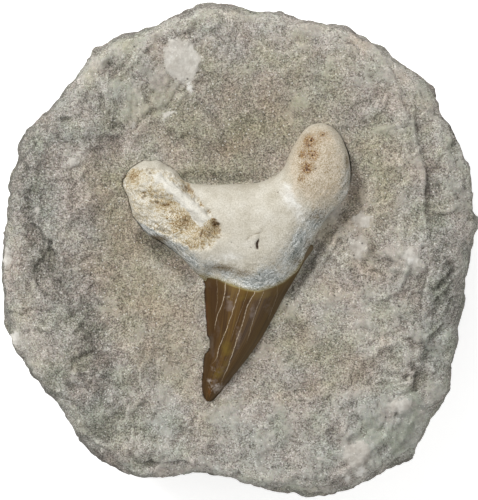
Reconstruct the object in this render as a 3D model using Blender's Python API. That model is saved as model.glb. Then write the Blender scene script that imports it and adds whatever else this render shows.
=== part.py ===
"""A fossil shark tooth lying in the slab of sandy matrix that it was found in.

Two solids: the slab, a flat-based piece of rock with a chipped rim and a dish worked into its top, and
the tooth, whose root and crown grew as one. The tooth lies with its flat outer face down in a socket of
its own shape. Z is up, Y runs along the slab's length, and the origin is under the middle of the slab.
"""

import math

import bmesh
import bpy
import numpy as np
from mathutils import Vector, noise

MM = 0.001

# Driving dimensions of the slab. OUTLINE goes once round its widest line, in millimetres.
SLAB_TOP = 26.6 * MM
RIM_ROUND = 2.2 * MM
DISH_DEPTH = 2.0 * MM
DISH_HALF_SIZE = (27 * MM, 35 * MM)
DISH_CENTRE = (0, 1 * MM)
SLAB_CELLS = 38
RIM_REACH = 0.97  # the top stops this far out, as a share of the outline
WALL_ROUGH = 1.5 * MM
OUTLINE = [
    (-6.0, 54.5), (-0.3, 53.9), (2.8, 53.0), (6.4, 53.0), (12.7, 51.3), (18.8, 50.4), (23.9, 49.7),
    (25.9, 47.7), (32.0, 44.4), (33.8, 42.2), (38.4, 39.4), (43.0, 35.6), (44.3, 31.2), (47.6, 26.4),
    (50.3, 21.3), (51.5, 13.9), (52.5, 6.2), (51.5, 0.0), (50.1, -8.8), (48.7, -17.6), (47.6, -25.3),
    (47.0, -31.2), (42.8, -37.0), (39.9, -42.9), (38.8, -46.6), (37.1, -48.4), (34.2, -49.5),
    (32.0, -51.0), (24.3, -53.2), (18.2, -54.9), (12.2, -53.9), (5.0, -52.6), (-0.5, -50.6),
    (-7.6, -49.1), (-12.0, -49.4), (-17.5, -50.8), (-22.6, -51.0), (-28.5, -48.0), (-34.0, -44.7),
    (-36.9, -39.2), (-41.3, -32.6), (-46.5, -26.8), (-50.5, -20.9), (-51.8, -17.6), (-52.0, -9.9),
    (-52.5, -4.4), (-52.0, 1.1), (-51.4, 8.4), (-50.7, 11.9), (-50.9, 15.4), (-49.0, 19.8),
    (-47.9, 25.3), (-46.1, 27.5), (-40.8, 31.9), (-36.2, 37.8), (-33.3, 41.4), (-32.2, 44.0),
    (-28.9, 45.3), (-25.4, 47.1), (-18.6, 49.5), (-11.6, 53.0),
]  # fmt: skip

# The wall of the slab, from rim to base: share of the height left, share of the outline's reach.
WALL = [(0.84, 0.985), (0.64, 0.997), (0.42, 0.99), (0.22, 0.975), (0.07, 0.958), (0.0, 0.95)]

# Breaks that undercut the wall: direction in degrees, reach at the base in millimetres, gain per millimetre up.
UNDERCUTS = [
    (-6, 47.5, 0.5), (27, 43.5, 0.75), (49, 49, 0.35), (84, 48.5, 0.6), (116, 44, 0.85), (143, 48, 0.4),
    (178, 45.5, 0.8), (209, 47.5, 0.35), (231, 44, 0.65), (264, 45.5, 0.6), (296, 49.5, 0.45), (327, 46.5, 0.7),
]  # fmt: skip

# Breaks that bevel the rim: direction in degrees, start in millimetres from the middle, fall per millimetre.
BREAKS = [
    (8, 47.5, 0.45), (-16, 42.5, 0.5), (-40, 49.5, 0.5), (-58, 52, 0.7), (-82, 50, 0.45), (-110, 46, 0.4),
    (-133, 47, 0.4), (-158, 47.5, 0.35), (178, 48, 0.45), (158, 47, 0.5), (138, 48.5, 0.5),
    (112, 49.5, 0.45), (80, 49.5, 0.45), (52, 52, 0.6), (30, 50, 0.5),
]  # fmt: skip

# Lumps and hollows on top of the slab: x, y, half-width, half-height and rise, all in millimetres.
LUMPS = [
    (0.0, 19.5, 10.5, 5.5, -1.3), (19.5, 2.0, 3.4, 2.6, 0.9), (26.0, 0.0, 2.2, 2.6, 0.8),
    (35.0, -1.0, 2.6, 3.0, 0.9), (19.5, -10.5, 6.0, 2.4, 0.7), (11.5, -16.5, 2.2, 2.8, -0.8),
    (13.0, -40.5, 3.8, 2.6, -1.1), (31.0, -33.0, 4.6, 2.4, 0.8), (38.5, -15.5, 2.6, 3.2, 0.9),
    (37.5, -28.0, 2.6, 2.8, -1.0), (28.5, -26.0, 4.2, 2.6, -0.6), (-38.5, -18.0, 7.5, 6.5, 1.1),
    (-42.5, 13.0, 6.0, 7.5, -0.9), (-23.5, -19.0, 4.6, 8.5, 0.8), (-15.0, -42.5, 3.0, 2.6, 0.9),
    (-24.5, 34.0, 3.2, 2.2, 0.6), (-35.0, 19.0, 2.0, 2.0, 0.8), (-32.5, 9.5, 1.9, 4.6, 0.8),
    (-5.0, 21.5, 2.2, 1.8, -0.6), (-13.5, 26.5, 3.8, 2.6, 0.6), (-38.5, 28.0, 3.4, 3.0, -0.6),
    (13.0, 40.5, 12.0, 8.0, 0.4), (-12.4, 40.5, 3.6, 4.2, 0.5),
]  # fmt: skip

# Grooves along a line of points, in millimetres, each with its half-width and depth.
GROOVES = [
    ([(25.4, 13.0), (24.4, 10.0), (19.0, 3.4), (14.6, -3.6), (11.2, -8.6)], 1.9, 2.4),
    ([(-22.6, 4.0), (-16.4, -0.6), (-10.0, -6.2)], 1.7, 1.7),
    ([(-11.0, 15.8), (-4.0, 15.2), (5.5, 15.6)], 1.5, 0.9),
    ([(-38.7, -4.7), (-32.7, -13.2), (-29.9, -21.8), (-28.4, -32.0), (-29.7, -38.9)], 2.2, 1.3),
    ([(-27.2, 38.9), (-19.1, 33.7), (-15.9, 31.0)], 1.5, 0.7),
    ([(-30.2, 20.3), (-25.9, 23.5)], 2.2, 0.9),
]

# A bedding ledge at the right: the rock beyond this line is lower, and climbs back over LEDGE_RUN.
LEDGE = [(36.9, 36.0), (37.1, 31.0), (37.7, 23.5), (39.4, 18.1), (39.4, 8.5), (41.0, -2.0)]
LEDGE_DROP = 1.2 * MM
LEDGE_RUN = 9 * MM

# The tooth. SEAT is the height of its widest line, which TILT raises from left to right.
SEAT = 24.4 * MM
TILT = 0.03
GAP = 0.3 * MM
ROOT_RING = 26
ROOT_SECTIONS = 40
CROWN_RING = 18
CROWN_SECTIONS = 18
ROOT_SINK = 0.55  # depth below the widest line, as a share of the rise above it
CROWN_SINK = 0.42
LOBE_POWER = 0.46  # how full a lobe's cross-section is: 0.5 is an ellipse, 1 a parabola
NECK_POWER = 0.9

# Sections of the root from the left lobe to the right one, in millimetres: the point on the edge between
# the lobes, the point on the edge towards the crown, the rise, and how far the section belongs to the neck.
ROOT = [
    (-24.9, 15.1, -24.9, 13.3, 1.0, 0.0), (-24.2, 16.2, -24.1, 12.1, 2.5, 0.0),
    (-22.7, 17.9, -23.2, 9.3, 4.3, 0.0), (-19.9, 19.2, -21.8, 6.0, 5.4, 0.0),
    (-16.9, 18.9, -19.0, 3.0, 5.9, 0.0), (-13.9, 17.1, -15.6, 1.2, 6.2, 0.0),
    (-11.2, 14.7, -12.6, -1.4, 6.6, 0.05), (-7.5, 14.0, -9.9, -4.2, 7.2, 0.3),
    (-3.7, 14.0, -5.3, -8.4, 7.9, 0.85), (0.2, 14.1, 0.1, -12.0, 8.3, 1.0),
    (3.6, 14.3, 4.2, -12.9, 8.4, 1.0), (6.4, 15.2, 8.9, -9.4, 8.2, 0.95),
    (8.5, 16.4, 12.9, -4.0, 7.7, 0.6), (9.8, 18.0, 14.7, 0.0, 7.2, 0.2),
    (10.6, 20.1, 16.9, 3.9, 6.8, 0.0), (11.7, 22.3, 19.2, 7.5, 6.6, 0.0),
    (12.8, 24.1, 21.6, 9.8, 6.4, 0.0), (14.1, 25.8, 23.3, 12.5, 6.0, 0.0),
    (15.6, 26.8, 23.8, 16.1, 5.4, 0.0), (17.5, 27.1, 23.4, 19.9, 4.5, 0.0),
    (19.4, 26.5, 22.4, 22.9, 2.8, 0.0), (20.7, 25.6, 21.8, 24.2, 1.1, 0.0),
]  # fmt: skip

# Sections of the crown from under the root to the tip: left edge, right edge and rise, in millimetres.
CROWN = [
    (-7.8, -2.6, 15.4, 1.2, 4.2), (-7.6, -6.2, 13.6, -3.2, 4.6), (-7.3, -10.7, 9.7, -9.9, 4.7),
    (-7.1, -15.0, 7.1, -14.8, 4.5), (-7.1, -19.3, 4.4, -19.5, 4.1), (-7.6, -24.0, 1.3, -23.8, 3.4),
    (-7.9, -27.8, -1.9, -27.8, 2.6), (-7.5, -30.4, -4.1, -30.7, 1.7), (-6.8, -32.0, -5.8, -32.2, 0.8),
]  # fmt: skip

# Where the root's surface is raised or eaten away: x, y, half-width, half-height and rise in millimetres.
ROOT_MARKS = [
    (-15.8, 8.8, 2.6, 2.0, -0.7), (-11.5, 4.6, 2.6, 1.9, -0.8), (-19.5, 13.6, 2.2, 2.0, 0.4),
    (2.6, 3.4, 2.0, 1.8, 0.4), (15.6, 20.5, 1.8, 3.2, -0.3),
]  # fmt: skip

# The edge of the left lobe's spongy bone: a ridge, then a ragged groove, each as one of GROOVES.
ROOT_GROOVES = [
    ([(-14.6, 13.6), (-10.4, 9.8), (-6.6, 6.0)], 1.5, -0.8),
    ([(-10.6, 14.4), (-8.2, 11.0), (-5.0, 7.6), (-3.6, 3.6)], 1.2, 0.7),
]


def along(rows, count):
    """count rows on a smooth curve through the given rows, evenly spread over them."""
    rows = np.array(rows, float)
    padded = np.vstack([2 * rows[0] - rows[1], rows, 2 * rows[-1] - rows[-2]])
    found = []
    for place in np.linspace(0, len(rows) - 1, count):
        first = min(int(place), len(rows) - 2)
        t = place - first
        a, b, c, d = padded[first : first + 4]
        bend = 2 * a - 5 * b + 4 * c - d
        found.append(b + 0.5 * t * (c - a + t * (bend + t * (3 * (b - c) + d - a))))
    return found


def bump(x, y, lump):
    """Height that one lump adds at x, y, in metres."""
    cx, cy, half_width, half_height, rise = lump
    far = ((x / MM - cx) / half_width) ** 2 + ((y / MM - cy) / half_height) ** 2
    return rise * MM * math.exp(-far)


def grooves(x, y, lines):
    """Depth of all the grooves at x, y, in metres."""
    return sum(depth * MM * math.exp(-((off_line(x, y, line)[0] / width) ** 2)) for line, width, depth in lines)


def off_line(x, y, line):
    """Distance in millimetres from x, y to a line of points, and whether the point lies left of the line."""
    here = Vector((x / MM, y / MM))
    best, side = math.inf, 0
    for start, end in zip(line, line[1:]):
        start, end = Vector(start), Vector(end)
        run = end - start
        share = max(0, min(1, (here - start).dot(run) / run.length_squared))
        away = here - (start + share * run)
        if away.length < best:
            best = away.length
            side = run.cross(away)
    return best, side > 0


def eased(share):
    """0 to 1 with level ends."""
    share = max(0, min(1, share))
    return share * share * (3 - 2 * share)


def ledge_height(x, y):
    """How far the rock right of the ledge lies below the rest."""
    far, is_left = off_line(x, y, LEDGE)
    ends = eased((y / MM + 2) / 8) * eased((36 - y / MM) / 8)
    if not is_left:
        return 0
    return -LEDGE_DROP * ends * eased(far) * (1 - eased(far * MM / LEDGE_RUN))


def top_height(x, y):
    """Height of the slab's top at x, y."""
    dish = math.hypot((x - DISH_CENTRE[0]) / DISH_HALF_SIZE[0], (y - DISH_CENTRE[1]) / DISH_HALF_SIZE[1])
    height = SLAB_TOP - DISH_DEPTH * (1 - eased((dish - 0.85) / 0.6))
    height += sum(bump(x, y, lump) for lump in LUMPS)
    height -= grooves(x, y, GROOVES)
    height += ledge_height(x, y)
    far_out = eased(dish - 0.7)
    for size, rise in ((11, 0.55), (5, 0.3)):
        height += rise * MM * far_out * noise.noise(Vector((x, y, 0)) / (size * MM))
    cut = max(fall * (x * math.cos(a) + y * math.sin(a) - start * MM) for a, start, fall in break_planes())
    return height - max(0, cut)


def break_planes():
    return [(math.radians(angle), start, fall) for angle, start, fall in BREAKS]


def reach(angle):
    """Distance from the slab's middle to its outline in one direction."""
    points = np.array(OUTLINE)
    angles = np.arctan2(points[:, 1], points[:, 0])
    lengths = np.hypot(points[:, 0], points[:, 1]) * MM
    return float(np.interp(angle, *np.array(sorted(zip(angles, lengths))).T, period=2 * math.pi))


def slab_point(unit):
    """Where a vertex of the unit disc, or of a wall row below it, lies on the slab."""
    angle = math.atan2(unit.y, unit.x)
    share = math.hypot(unit.x, unit.y)
    row = round(-unit.z)
    out = reach(angle)
    ray = Vector((math.cos(angle), math.sin(angle), 0))
    rim = ray * out * RIM_REACH
    if row == 0:
        spot = rim * share
        rounded = max(0, (share - 0.94) / 0.06) ** 2 * RIM_ROUND
        return spot + Vector((0, 0, top_height(spot.x, spot.y) - rounded))
    left, wide = WALL[row - 1]
    height = left * (top_height(rim.x, rim.y) - RIM_ROUND)
    undercut = min(
        (start * MM + gain * height) / max(0.5, math.cos(angle - math.radians(direction)))
        for direction, start, gain in UNDERCUTS
    )
    rough = WALL_ROUGH * abs(noise.noise(Vector((ray.x, ray.y, left)) * 4))
    return ray * (min(out * wide, undercut) - rough) + Vector((0, 0, height))


def add_object(name, bm, colour, roughness):
    """A smooth-shaded object of its own material."""
    mesh = bpy.data.meshes.new(name)
    bm.to_mesh(mesh)
    bm.free()
    mesh.shade_smooth()
    obj = bpy.data.objects.new(name, mesh)
    bpy.context.scene.collection.objects.link(obj)
    material = bpy.data.materials.new(name)
    material.use_nodes = True
    shader = material.node_tree.nodes["Principled BSDF"]
    shader.inputs["Base Color"].default_value = (*colour, 1)
    shader.inputs["Roughness"].default_value = roughness
    mesh.materials.append(material)
    return obj


def on_disc(u, w):
    """A point of a square laid on the disc inside it, with cells of even size."""
    if abs(u) > abs(w):
        angle = math.pi / 4 * w / u
        return u * math.cos(angle), u * math.sin(angle)
    angle = math.pi / 4 * u / w if w else 0
    return w * math.sin(angle), w * math.cos(angle)


def slab():
    """The rock: a disc of quads, walls extruded from its rim, and one flat face to rest on."""
    bm = bmesh.new()
    bmesh.ops.create_grid(bm, x_segments=SLAB_CELLS, y_segments=SLAB_CELLS, size=1)
    for v in bm.verts:
        v.co.x, v.co.y = on_disc(v.co.x, v.co.y)
    rim = [e for e in bm.edges if e.is_boundary]
    for _ in WALL:
        made = bmesh.ops.extrude_edge_only(bm, edges=rim)["geom"]
        rim = [e for e in made if isinstance(e, bmesh.types.BMEdge)]
        bmesh.ops.translate(bm, verts=[v for v in made if isinstance(v, bmesh.types.BMVert)], vec=(0, 0, -1))
    bmesh.ops.contextual_create(bm, geom=rim)
    for v in bm.verts:
        v.co = slab_point(v.co)
    bmesh.ops.recalc_face_normals(bm, faces=bm.faces)
    return add_object("matrix_slab", bm, (0.33, 0.30, 0.25), 0.95)


def loft(sections, ring_size, ring_point):
    """A closed skin over the sections. ring_point gives a point of a section by its angle round the ring."""
    bm = bmesh.new()
    before = None
    for section in sections:
        ring = bmesh.ops.create_circle(bm, radius=1, segments=ring_size)["verts"]
        for v in ring:
            v.co = ring_point(section, v.co.x, v.co.y)
        edges = list({e for v in ring for e in v.link_edges})
        if before is None:
            bmesh.ops.contextual_create(bm, geom=edges)
        else:
            bmesh.ops.bridge_loops(bm, edges=before + edges)
        before = edges
    bmesh.ops.contextual_create(bm, geom=before)
    bmesh.ops.recalc_face_normals(bm, faces=bm.faces)
    return bm


def seat_height(x):
    return SEAT + TILT * x


def root_point(section, across, up):
    """A point of a root section. across runs from the edge towards the crown, at -1, to the other, at 1."""
    base_x, base_y, neck_x, neck_y, rise, neck = section
    neck_share = (1 - across) / 2
    x = (base_x + (neck_x - base_x) * neck_share) * MM
    y = (base_y + (neck_y - base_y) * neck_share) * MM
    if up < 0:
        return Vector((x, y, seat_height(x) - ROOT_SINK * rise * MM * -up))
    peak = 0.1 * neck
    skewed = (across - peak) / (1 - peak * across)
    power = LOBE_POWER + (NECK_POWER - LOBE_POWER) * neck * (skewed < 0)
    height = rise * MM * max(0, 1 - skewed * skewed) ** power
    marks = sum(bump(x, y, mark) for mark in ROOT_MARKS) - grooves(x, y, ROOT_GROOVES)
    marks *= eased(height / (3 * MM))
    return Vector((x, y, seat_height(x) + height + marks))


def crown_point(section, across, up):
    """A point of a crown section: a lens between the cutting edges, more domed above than below."""
    left_x, left_y, right_x, right_y, rise = section
    share = (1 + across) / 2
    x = (left_x + (right_x - left_x) * share) * MM
    y = (left_y + (right_y - left_y) * share) * MM
    bulge = (1 - across * across) ** 0.85 * rise * MM
    return Vector((x, y, seat_height(x) + bulge * (1 if up > 0 else -CROWN_SINK)))


def root_skin():
    return loft(along(ROOT, ROOT_SECTIONS), ROOT_RING, root_point)


def crown_skin():
    return loft(along(CROWN, CROWN_SECTIONS), CROWN_RING, crown_point)


def grown(bm, by):
    """The same skin, moved outwards."""
    bm.normal_update()
    moves = [(v, v.normal * by) for v in bm.verts]
    for v, move in moves:
        v.co += move
    return bm


def hide(obj):
    obj.hide_render = True
    obj.display_type = "WIRE"
    return obj


def boolean(obj, other, operation):
    modifier = obj.modifiers.new(other.name, "BOOLEAN")
    modifier.operation = operation
    modifier.object = other


def main():
    for obj in list(bpy.data.objects):
        bpy.data.objects.remove(obj)
    tooth = add_object("tooth", root_skin(), (0.66, 0.60, 0.50), 0.6)
    crown = hide(add_object("crown_form", crown_skin(), (0.13, 0.08, 0.035), 0.3))
    boolean(tooth, crown, "UNION")
    rock = slab()
    for name, skin in (("root_socket", root_skin()), ("crown_socket", crown_skin())):
        boolean(rock, hide(add_object(name, grown(skin, GAP), (0.3, 0.3, 0.3), 0.9)), "DIFFERENCE")


main()
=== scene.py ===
import math
import random

import bmesh
import bpy
import numpy as np
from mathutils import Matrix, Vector, noise


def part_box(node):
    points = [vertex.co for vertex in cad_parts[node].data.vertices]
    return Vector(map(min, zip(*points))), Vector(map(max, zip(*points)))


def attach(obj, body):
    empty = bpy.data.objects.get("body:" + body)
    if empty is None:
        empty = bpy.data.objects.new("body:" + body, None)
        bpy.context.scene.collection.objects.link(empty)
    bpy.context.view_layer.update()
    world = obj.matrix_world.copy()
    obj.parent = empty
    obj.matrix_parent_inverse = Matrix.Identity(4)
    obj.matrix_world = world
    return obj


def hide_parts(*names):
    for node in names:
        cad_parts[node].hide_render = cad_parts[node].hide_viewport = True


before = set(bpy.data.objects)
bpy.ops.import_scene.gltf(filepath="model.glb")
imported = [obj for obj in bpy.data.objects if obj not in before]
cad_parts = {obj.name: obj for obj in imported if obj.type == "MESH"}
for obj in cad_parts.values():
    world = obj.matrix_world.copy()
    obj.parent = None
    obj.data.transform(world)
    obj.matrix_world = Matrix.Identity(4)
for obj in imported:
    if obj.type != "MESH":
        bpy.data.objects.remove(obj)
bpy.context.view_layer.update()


# The slab of matrix: soft sandy limestone from a phosphate bed, full of quartz and shell grains.
# It was broken out round the fossil with a hammer, so its wall is undercut and chipped all round, and
# its top was scraped down into a shallow dish to bare the tooth. All its sizes are in millimetres.
SLAB_TOP = 26.6
RIM_ROUND = 2.2
RIM_REACH = 0.97  # the top stops this far out, as a share of the outline
DISH_DEPTH = 2.0
DISH_HALF_SIZE = (27, 35)
DISH_CENTRE = (0, 1)
RIM_START = 0.94  # where the rim starts to round, as a share of the top's reach
SLAB_CELLS = 224  # along each side of the top's grid
WALL_ROWS = 30
BASE_ROWS = 10  # rings of the underside, from the wall's foot to its middle
BASE_RELIEF = 0.7  # the underside's shallow hollows, none at its rim
WALL_ROUGH = 1.5  # how far hollows bite into the wall
OUTLINE = [
    (-6.0, 54.5), (-0.3, 53.9), (2.8, 53.0), (6.4, 53.0), (12.7, 51.3), (18.8, 50.4), (23.9, 49.7),
    (25.9, 47.7), (32.0, 44.4), (33.8, 42.2), (38.4, 39.4), (43.0, 35.6), (44.3, 31.2), (47.6, 26.4),
    (50.3, 21.3), (51.5, 13.9), (52.5, 6.2), (51.5, 0.0), (50.1, -8.8), (48.7, -17.6), (47.6, -25.3),
    (47.0, -31.2), (42.8, -37.0), (39.9, -42.9), (38.8, -46.6), (37.1, -48.4), (34.2, -49.5),
    (32.0, -51.0), (24.3, -53.2), (18.2, -54.9), (12.2, -53.9), (5.0, -52.6), (-0.5, -50.6),
    (-7.6, -49.1), (-12.0, -49.4), (-17.5, -50.8), (-22.6, -51.0), (-28.5, -48.0), (-34.0, -44.7),
    (-36.9, -39.2), (-41.3, -32.6), (-46.5, -26.8), (-50.5, -20.9), (-51.8, -17.6), (-52.0, -9.9),
    (-52.5, -4.4), (-52.0, 1.1), (-51.4, 8.4), (-50.7, 11.9), (-50.9, 15.4), (-49.0, 19.8),
    (-47.9, 25.3), (-46.1, 27.5), (-40.8, 31.9), (-36.2, 37.8), (-33.3, 41.4), (-32.2, 44.0),
    (-28.9, 45.3), (-25.4, 47.1), (-18.6, 49.5), (-11.6, 53.0),
]  # fmt: skip

# The wall from rim to base: share of the height left, share of the outline's reach.
WALL = [
    (1.0, 0.97), (0.84, 0.985), (0.64, 0.997), (0.42, 0.99), (0.22, 0.975), (0.07, 0.958), (0.03, 0.95),
    (0.0, 0.938),
]  # fmt: skip

# Breaks that undercut the wall: direction in degrees, reach at the base, gain per millimetre up.
UNDERCUTS = [
    (-6, 47.5, 0.5), (27, 43.5, 0.75), (49, 49, 0.35), (84, 48.5, 0.6), (116, 44, 0.85), (143, 48, 0.4),
    (178, 45.5, 0.8), (209, 47.5, 0.35), (231, 44, 0.65), (264, 45.5, 0.6), (296, 49.5, 0.45),
    (327, 46.5, 0.7),
]  # fmt: skip

# Breaks that bevel the rim: direction in degrees, start from the middle, fall per millimetre.
BREAKS = [
    (8, 47.5, 0.45), (-16, 42.5, 0.5), (-40, 49.5, 0.5), (-58, 52, 0.7), (-82, 50, 0.45), (-110, 46, 0.4),
    (-133, 47, 0.4), (-158, 47.5, 0.35), (178, 48, 0.45), (158, 47, 0.5), (138, 48.5, 0.5),
    (112, 49.5, 0.45), (80, 49.5, 0.45), (52, 52, 0.6), (30, 50, 0.5),
]  # fmt: skip

# Lumps and hollows on the top: x, y, half-width, half-height and rise.
LUMPS = [
    (0.0, 19.5, 10.5, 5.5, -1.3), (19.5, 2.0, 3.4, 2.6, 0.9), (26.0, 0.0, 2.2, 2.6, 0.8),
    (35.0, -1.0, 2.6, 3.0, 0.9), (19.5, -10.5, 6.0, 2.4, 0.7), (11.5, -16.5, 2.2, 2.8, -0.8),
    (13.0, -40.5, 3.8, 2.6, -1.1), (31.0, -33.0, 4.6, 2.4, 0.8), (38.5, -15.5, 2.6, 3.2, 0.9),
    (37.5, -28.0, 2.6, 2.8, -1.0), (28.5, -26.0, 4.2, 2.6, -0.6), (-38.5, -18.0, 7.5, 6.5, 1.1),
    (-42.5, 13.0, 6.0, 7.5, -0.9), (-23.5, -19.0, 4.6, 8.5, 0.8), (-15.0, -42.5, 3.0, 2.6, 0.9),
    (-24.5, 34.0, 3.2, 2.2, 0.6), (-35.0, 19.0, 2.0, 2.0, 0.8), (-32.5, 9.5, 1.9, 4.6, 0.8),
    (-5.0, 21.5, 2.2, 1.8, -0.6), (-13.5, 26.5, 3.8, 2.6, 0.6), (-38.5, 28.0, 3.4, 3.0, -0.6),
    (13.0, 40.5, 12.0, 8.0, 0.4), (-12.4, 40.5, 3.6, 4.2, 0.5),
]  # fmt: skip

# Grooves along a line of points, each with its half-width and depth.
GROOVES = [
    ([(25.4, 13.0), (24.4, 10.0), (19.0, 3.4), (14.6, -3.6), (11.2, -8.6)], 1.6, 1.3),
    ([(-20.4, 2.8), (-16.4, -0.6), (-10.0, -6.2)], 1.6, 1.5),
    ([(-11.0, 15.8), (-4.0, 15.2), (5.5, 15.6)], 1.5, 0.9),
    ([(-38.7, -4.7), (-32.7, -13.2), (-29.9, -21.8), (-28.4, -32.0), (-29.7, -38.9)], 3.2, 1.2),
    ([(-27.2, 38.9), (-19.1, 33.7), (-15.9, 31.0)], 1.5, 0.7),
    ([(-30.2, 20.3), (-25.9, 23.5)], 2.2, 0.9),
]

# A bedding ledge at the right: the rock beyond this line is lower, and climbs back over LEDGE_RUN.
LEDGE = [(36.9, 36.0), (37.1, 31.0), (37.7, 23.5), (39.4, 18.1), (39.4, 8.5), (41.0, -2.0)]
LEDGE_DROP = 1.2
LEDGE_RUN = 9

# Finer relief that the scraping left: sharp little scarps (line, drop on the right of the line, run) and
# narrow cuts (as GROOVES).
SCARPS = [
    ([(-18.8, 34.5), (-17.3, 30.4), (-16.3, 27.0), (-13.6, 25.2), (-10.4, 24.6)], 0.7, 4.0),
    ([(-28.6, 32.0), (-26.6, 27.6), (-24.4, 24.4), (-24.9, 20.6)], 0.6, 3.5),
    ([(32.6, -23.2), (28.3, -26.2), (24.1, -29.2), (20.2, -32.2), (17.0, -36.4)], 0.7, 4.0),
    ([(41.4, -3.2), (39.6, -8.0), (38.9, -15.6), (40.4, -21.0)], 1.1, 5.0),
    ([(-44.0, 8.0), (-40.4, 1.0), (-38.7, -4.7)], 0.9, 5.0),
    ([(-12.0, -40.0), (-14.2, -44.6), (-18.8, -46.8)], 0.8, 3.5),
    ([(23.9, 2.4), (20.8, 5.2), (22.4, 7.6), (27.0, 8.6)], 0.5, 2.5),
]
CUTS = [
    ([(19.8, -40.4), (22.2, -40.9), (24.6, -40.3)], 0.35, 0.5),
    ([(23.4, 8.4), (20.6, 4.9), (17.8, 1.2), (15.4, -2.8), (12.6, -8.2), (9.4, -13.4)], 0.35, 0.5),
    ([(25.8, 7.6), (22.4, 2.6), (18.6, -2.4), (16.0, -7.0)], 0.5, 0.4),
    ([(36.6, -24.6), (38.2, -26.2), (37.6, -29.4), (35.0, -31.2)], 0.6, 0.6),
    ([(29.0, -18.4), (33.6, -18.2), (38.4, -20.4)], 0.5, 0.4),
    ([(-8.0, 31.4), (-4.6, 27.8), (-3.2, 23.2)], 0.7, 0.4),
    ([(-41.0, -24.0), (-36.2, -28.4), (-33.0, -34.2)], 0.8, 0.5),
    ([(41.8, -33.8), (37.0, -34.6), (33.2, -36.4)], 0.5, 0.5),
]

# Where the top is rougher or smoother than elsewhere: x, y, half-width, half-height, amount. Its broken
# beds stand in steps of LEDGE_STEP.
ROUGH = [
    (25, 0, 9, 8, 0.9), (36, -4, 6, 8, 0.8), (30, -34, 14, 10, 0.7), (-22, 31, 9, 6, 0.5),
    (-20, -5, 10, 16, -0.3), (0, 22, 14, 6, -0.3), (-30, -30, 12, 12, 0.2), (-2, -40, 12, 6, 0.3),
    (43, -8, 6, 12, 0.4), (20, 38, 14, 8, -0.2),
]  # fmt: skip
LEDGE_STEP = 0.62

# Pale clasts: x, y, half-width, half-height, turn in degrees, and how white.
CLASTS = [
    (-12.2, 40.4, 3.8, 4.8, 27, 0.6), (-10.6, 34.6, 0.7, 1.0, 0, 1.0), (-15.6, 28.9, 1.1, 0.9, 0, 0.8),
    (-14.0, 29.1, 0.5, 0.4, 0, 1.0), (25.0, -43.3, 2.8, 2.9, 0, 0.3), (25.6, 0.4, 1.5, 2.6, -15, 0.15),
    (26.2, 6.4, 2.0, 1.4, 0, 0.2), (25.9, -47.4, 1.6, 1.1, 20, 0.8), (23.0, -48.5, 0.9, 0.8, 0, 0.8),
    (34.3, -47.0, 2.0, 1.3, 35, 0.7), (34.5, -33.0, 3.0, 1.3, 15, 0.5), (-48.2, -18.6, 1.5, 1.1, 20, 0.7),
    (-50.0, -1.4, 1.4, 1.9, 0, 0.5), (-22.6, 26.6, 0.7, 0.6, 0, 0.6), (36.6, -1.6, 1.3, 2.4, 25, 0.7),
    (9.4, 44.6, 0.6, 0.5, 0, 0.6), (-35.4, 18.6, 1.0, 0.9, 0, 0.4), (17.6, -44.6, 0.7, 0.6, 0, 0.4),
    (-43.0, 8.2, 0.6, 0.6, 0, 0.6), (33.4, 26.6, 0.6, 0.5, 0, 0.4),
]  # fmt: skip
CLAST_LOWEST = 22  # they end a little below this height, so none runs down the wall

# Hammer chips along the rim: how many, the range of their radius, and how deep they bite. Flats are broken
# off straight, so they have no radius.
CHIPS = 74
CHIP_RADIUS = (4, 15)
CHIP_BITE = (0.35, 1.3)
FLATS = 90
FLAT_BITE = (0.15, 0.9)


def eased(share):
    """0 to 1 with level ends."""
    share = np.clip(share, 0, 1)
    return share * share * (3 - 2 * share)


def spots(x, y, rows):
    """The sum of soft round spots, each a row of x, y, half-width, half-height and amount."""
    return sum(a * np.exp(-(((x - cx) / w) ** 2) - ((y - cy) / h) ** 2) for cx, cy, w, h, a in rows)


def off_line(x, y, line):
    """Distance to a line of points, and a number that is above 0 on the line's left."""
    best = np.full(np.shape(x), 1e9)
    side = np.zeros(np.shape(x))
    for (ax, ay), (bx, by) in zip(line, line[1:]):
        run_x, run_y = bx - ax, by - ay
        share = np.clip(((x - ax) * run_x + (y - ay) * run_y) / (run_x**2 + run_y**2), 0, 1)
        away_x, away_y = x - ax - share * run_x, y - ay - share * run_y
        away = np.hypot(away_x, away_y)
        side = np.where(away < best, run_x * away_y - run_y * away_x, side)
        best = np.minimum(best, away)
    return best, side


def grooves(x, y, rows):
    return sum(depth * np.exp(-((off_line(x, y, line)[0] / width) ** 2)) for line, width, depth in rows)


def lumpy(points, size, octaves=1):
    """Smooth noise of about -1 to 1, with lumps of the given size. Shifted points give other lumps."""
    return np.array([noise.fractal(Vector(p), 1, 2, octaves) for p in points / size])


def ledge_height(x, y):
    """How far the rock right of the ledge lies below the rest."""
    far, side = off_line(x, y, LEDGE)
    ends = eased((y + 2) / 8) * eased((36 - y) / 8)
    return -LEDGE_DROP * ends * eased(far) * (1 - eased(far / LEDGE_RUN)) * (side > 0)


def scarps(x, y, rows):
    """Steps down on the right of each line, which climb back over their run."""
    found = np.zeros(np.shape(x))
    for line, drop, run in rows:
        far, side = off_line(x, y, line)
        found -= drop * eased(far / 0.7) * (1 - eased(far / run)) * (side < 0)
    return found


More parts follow.
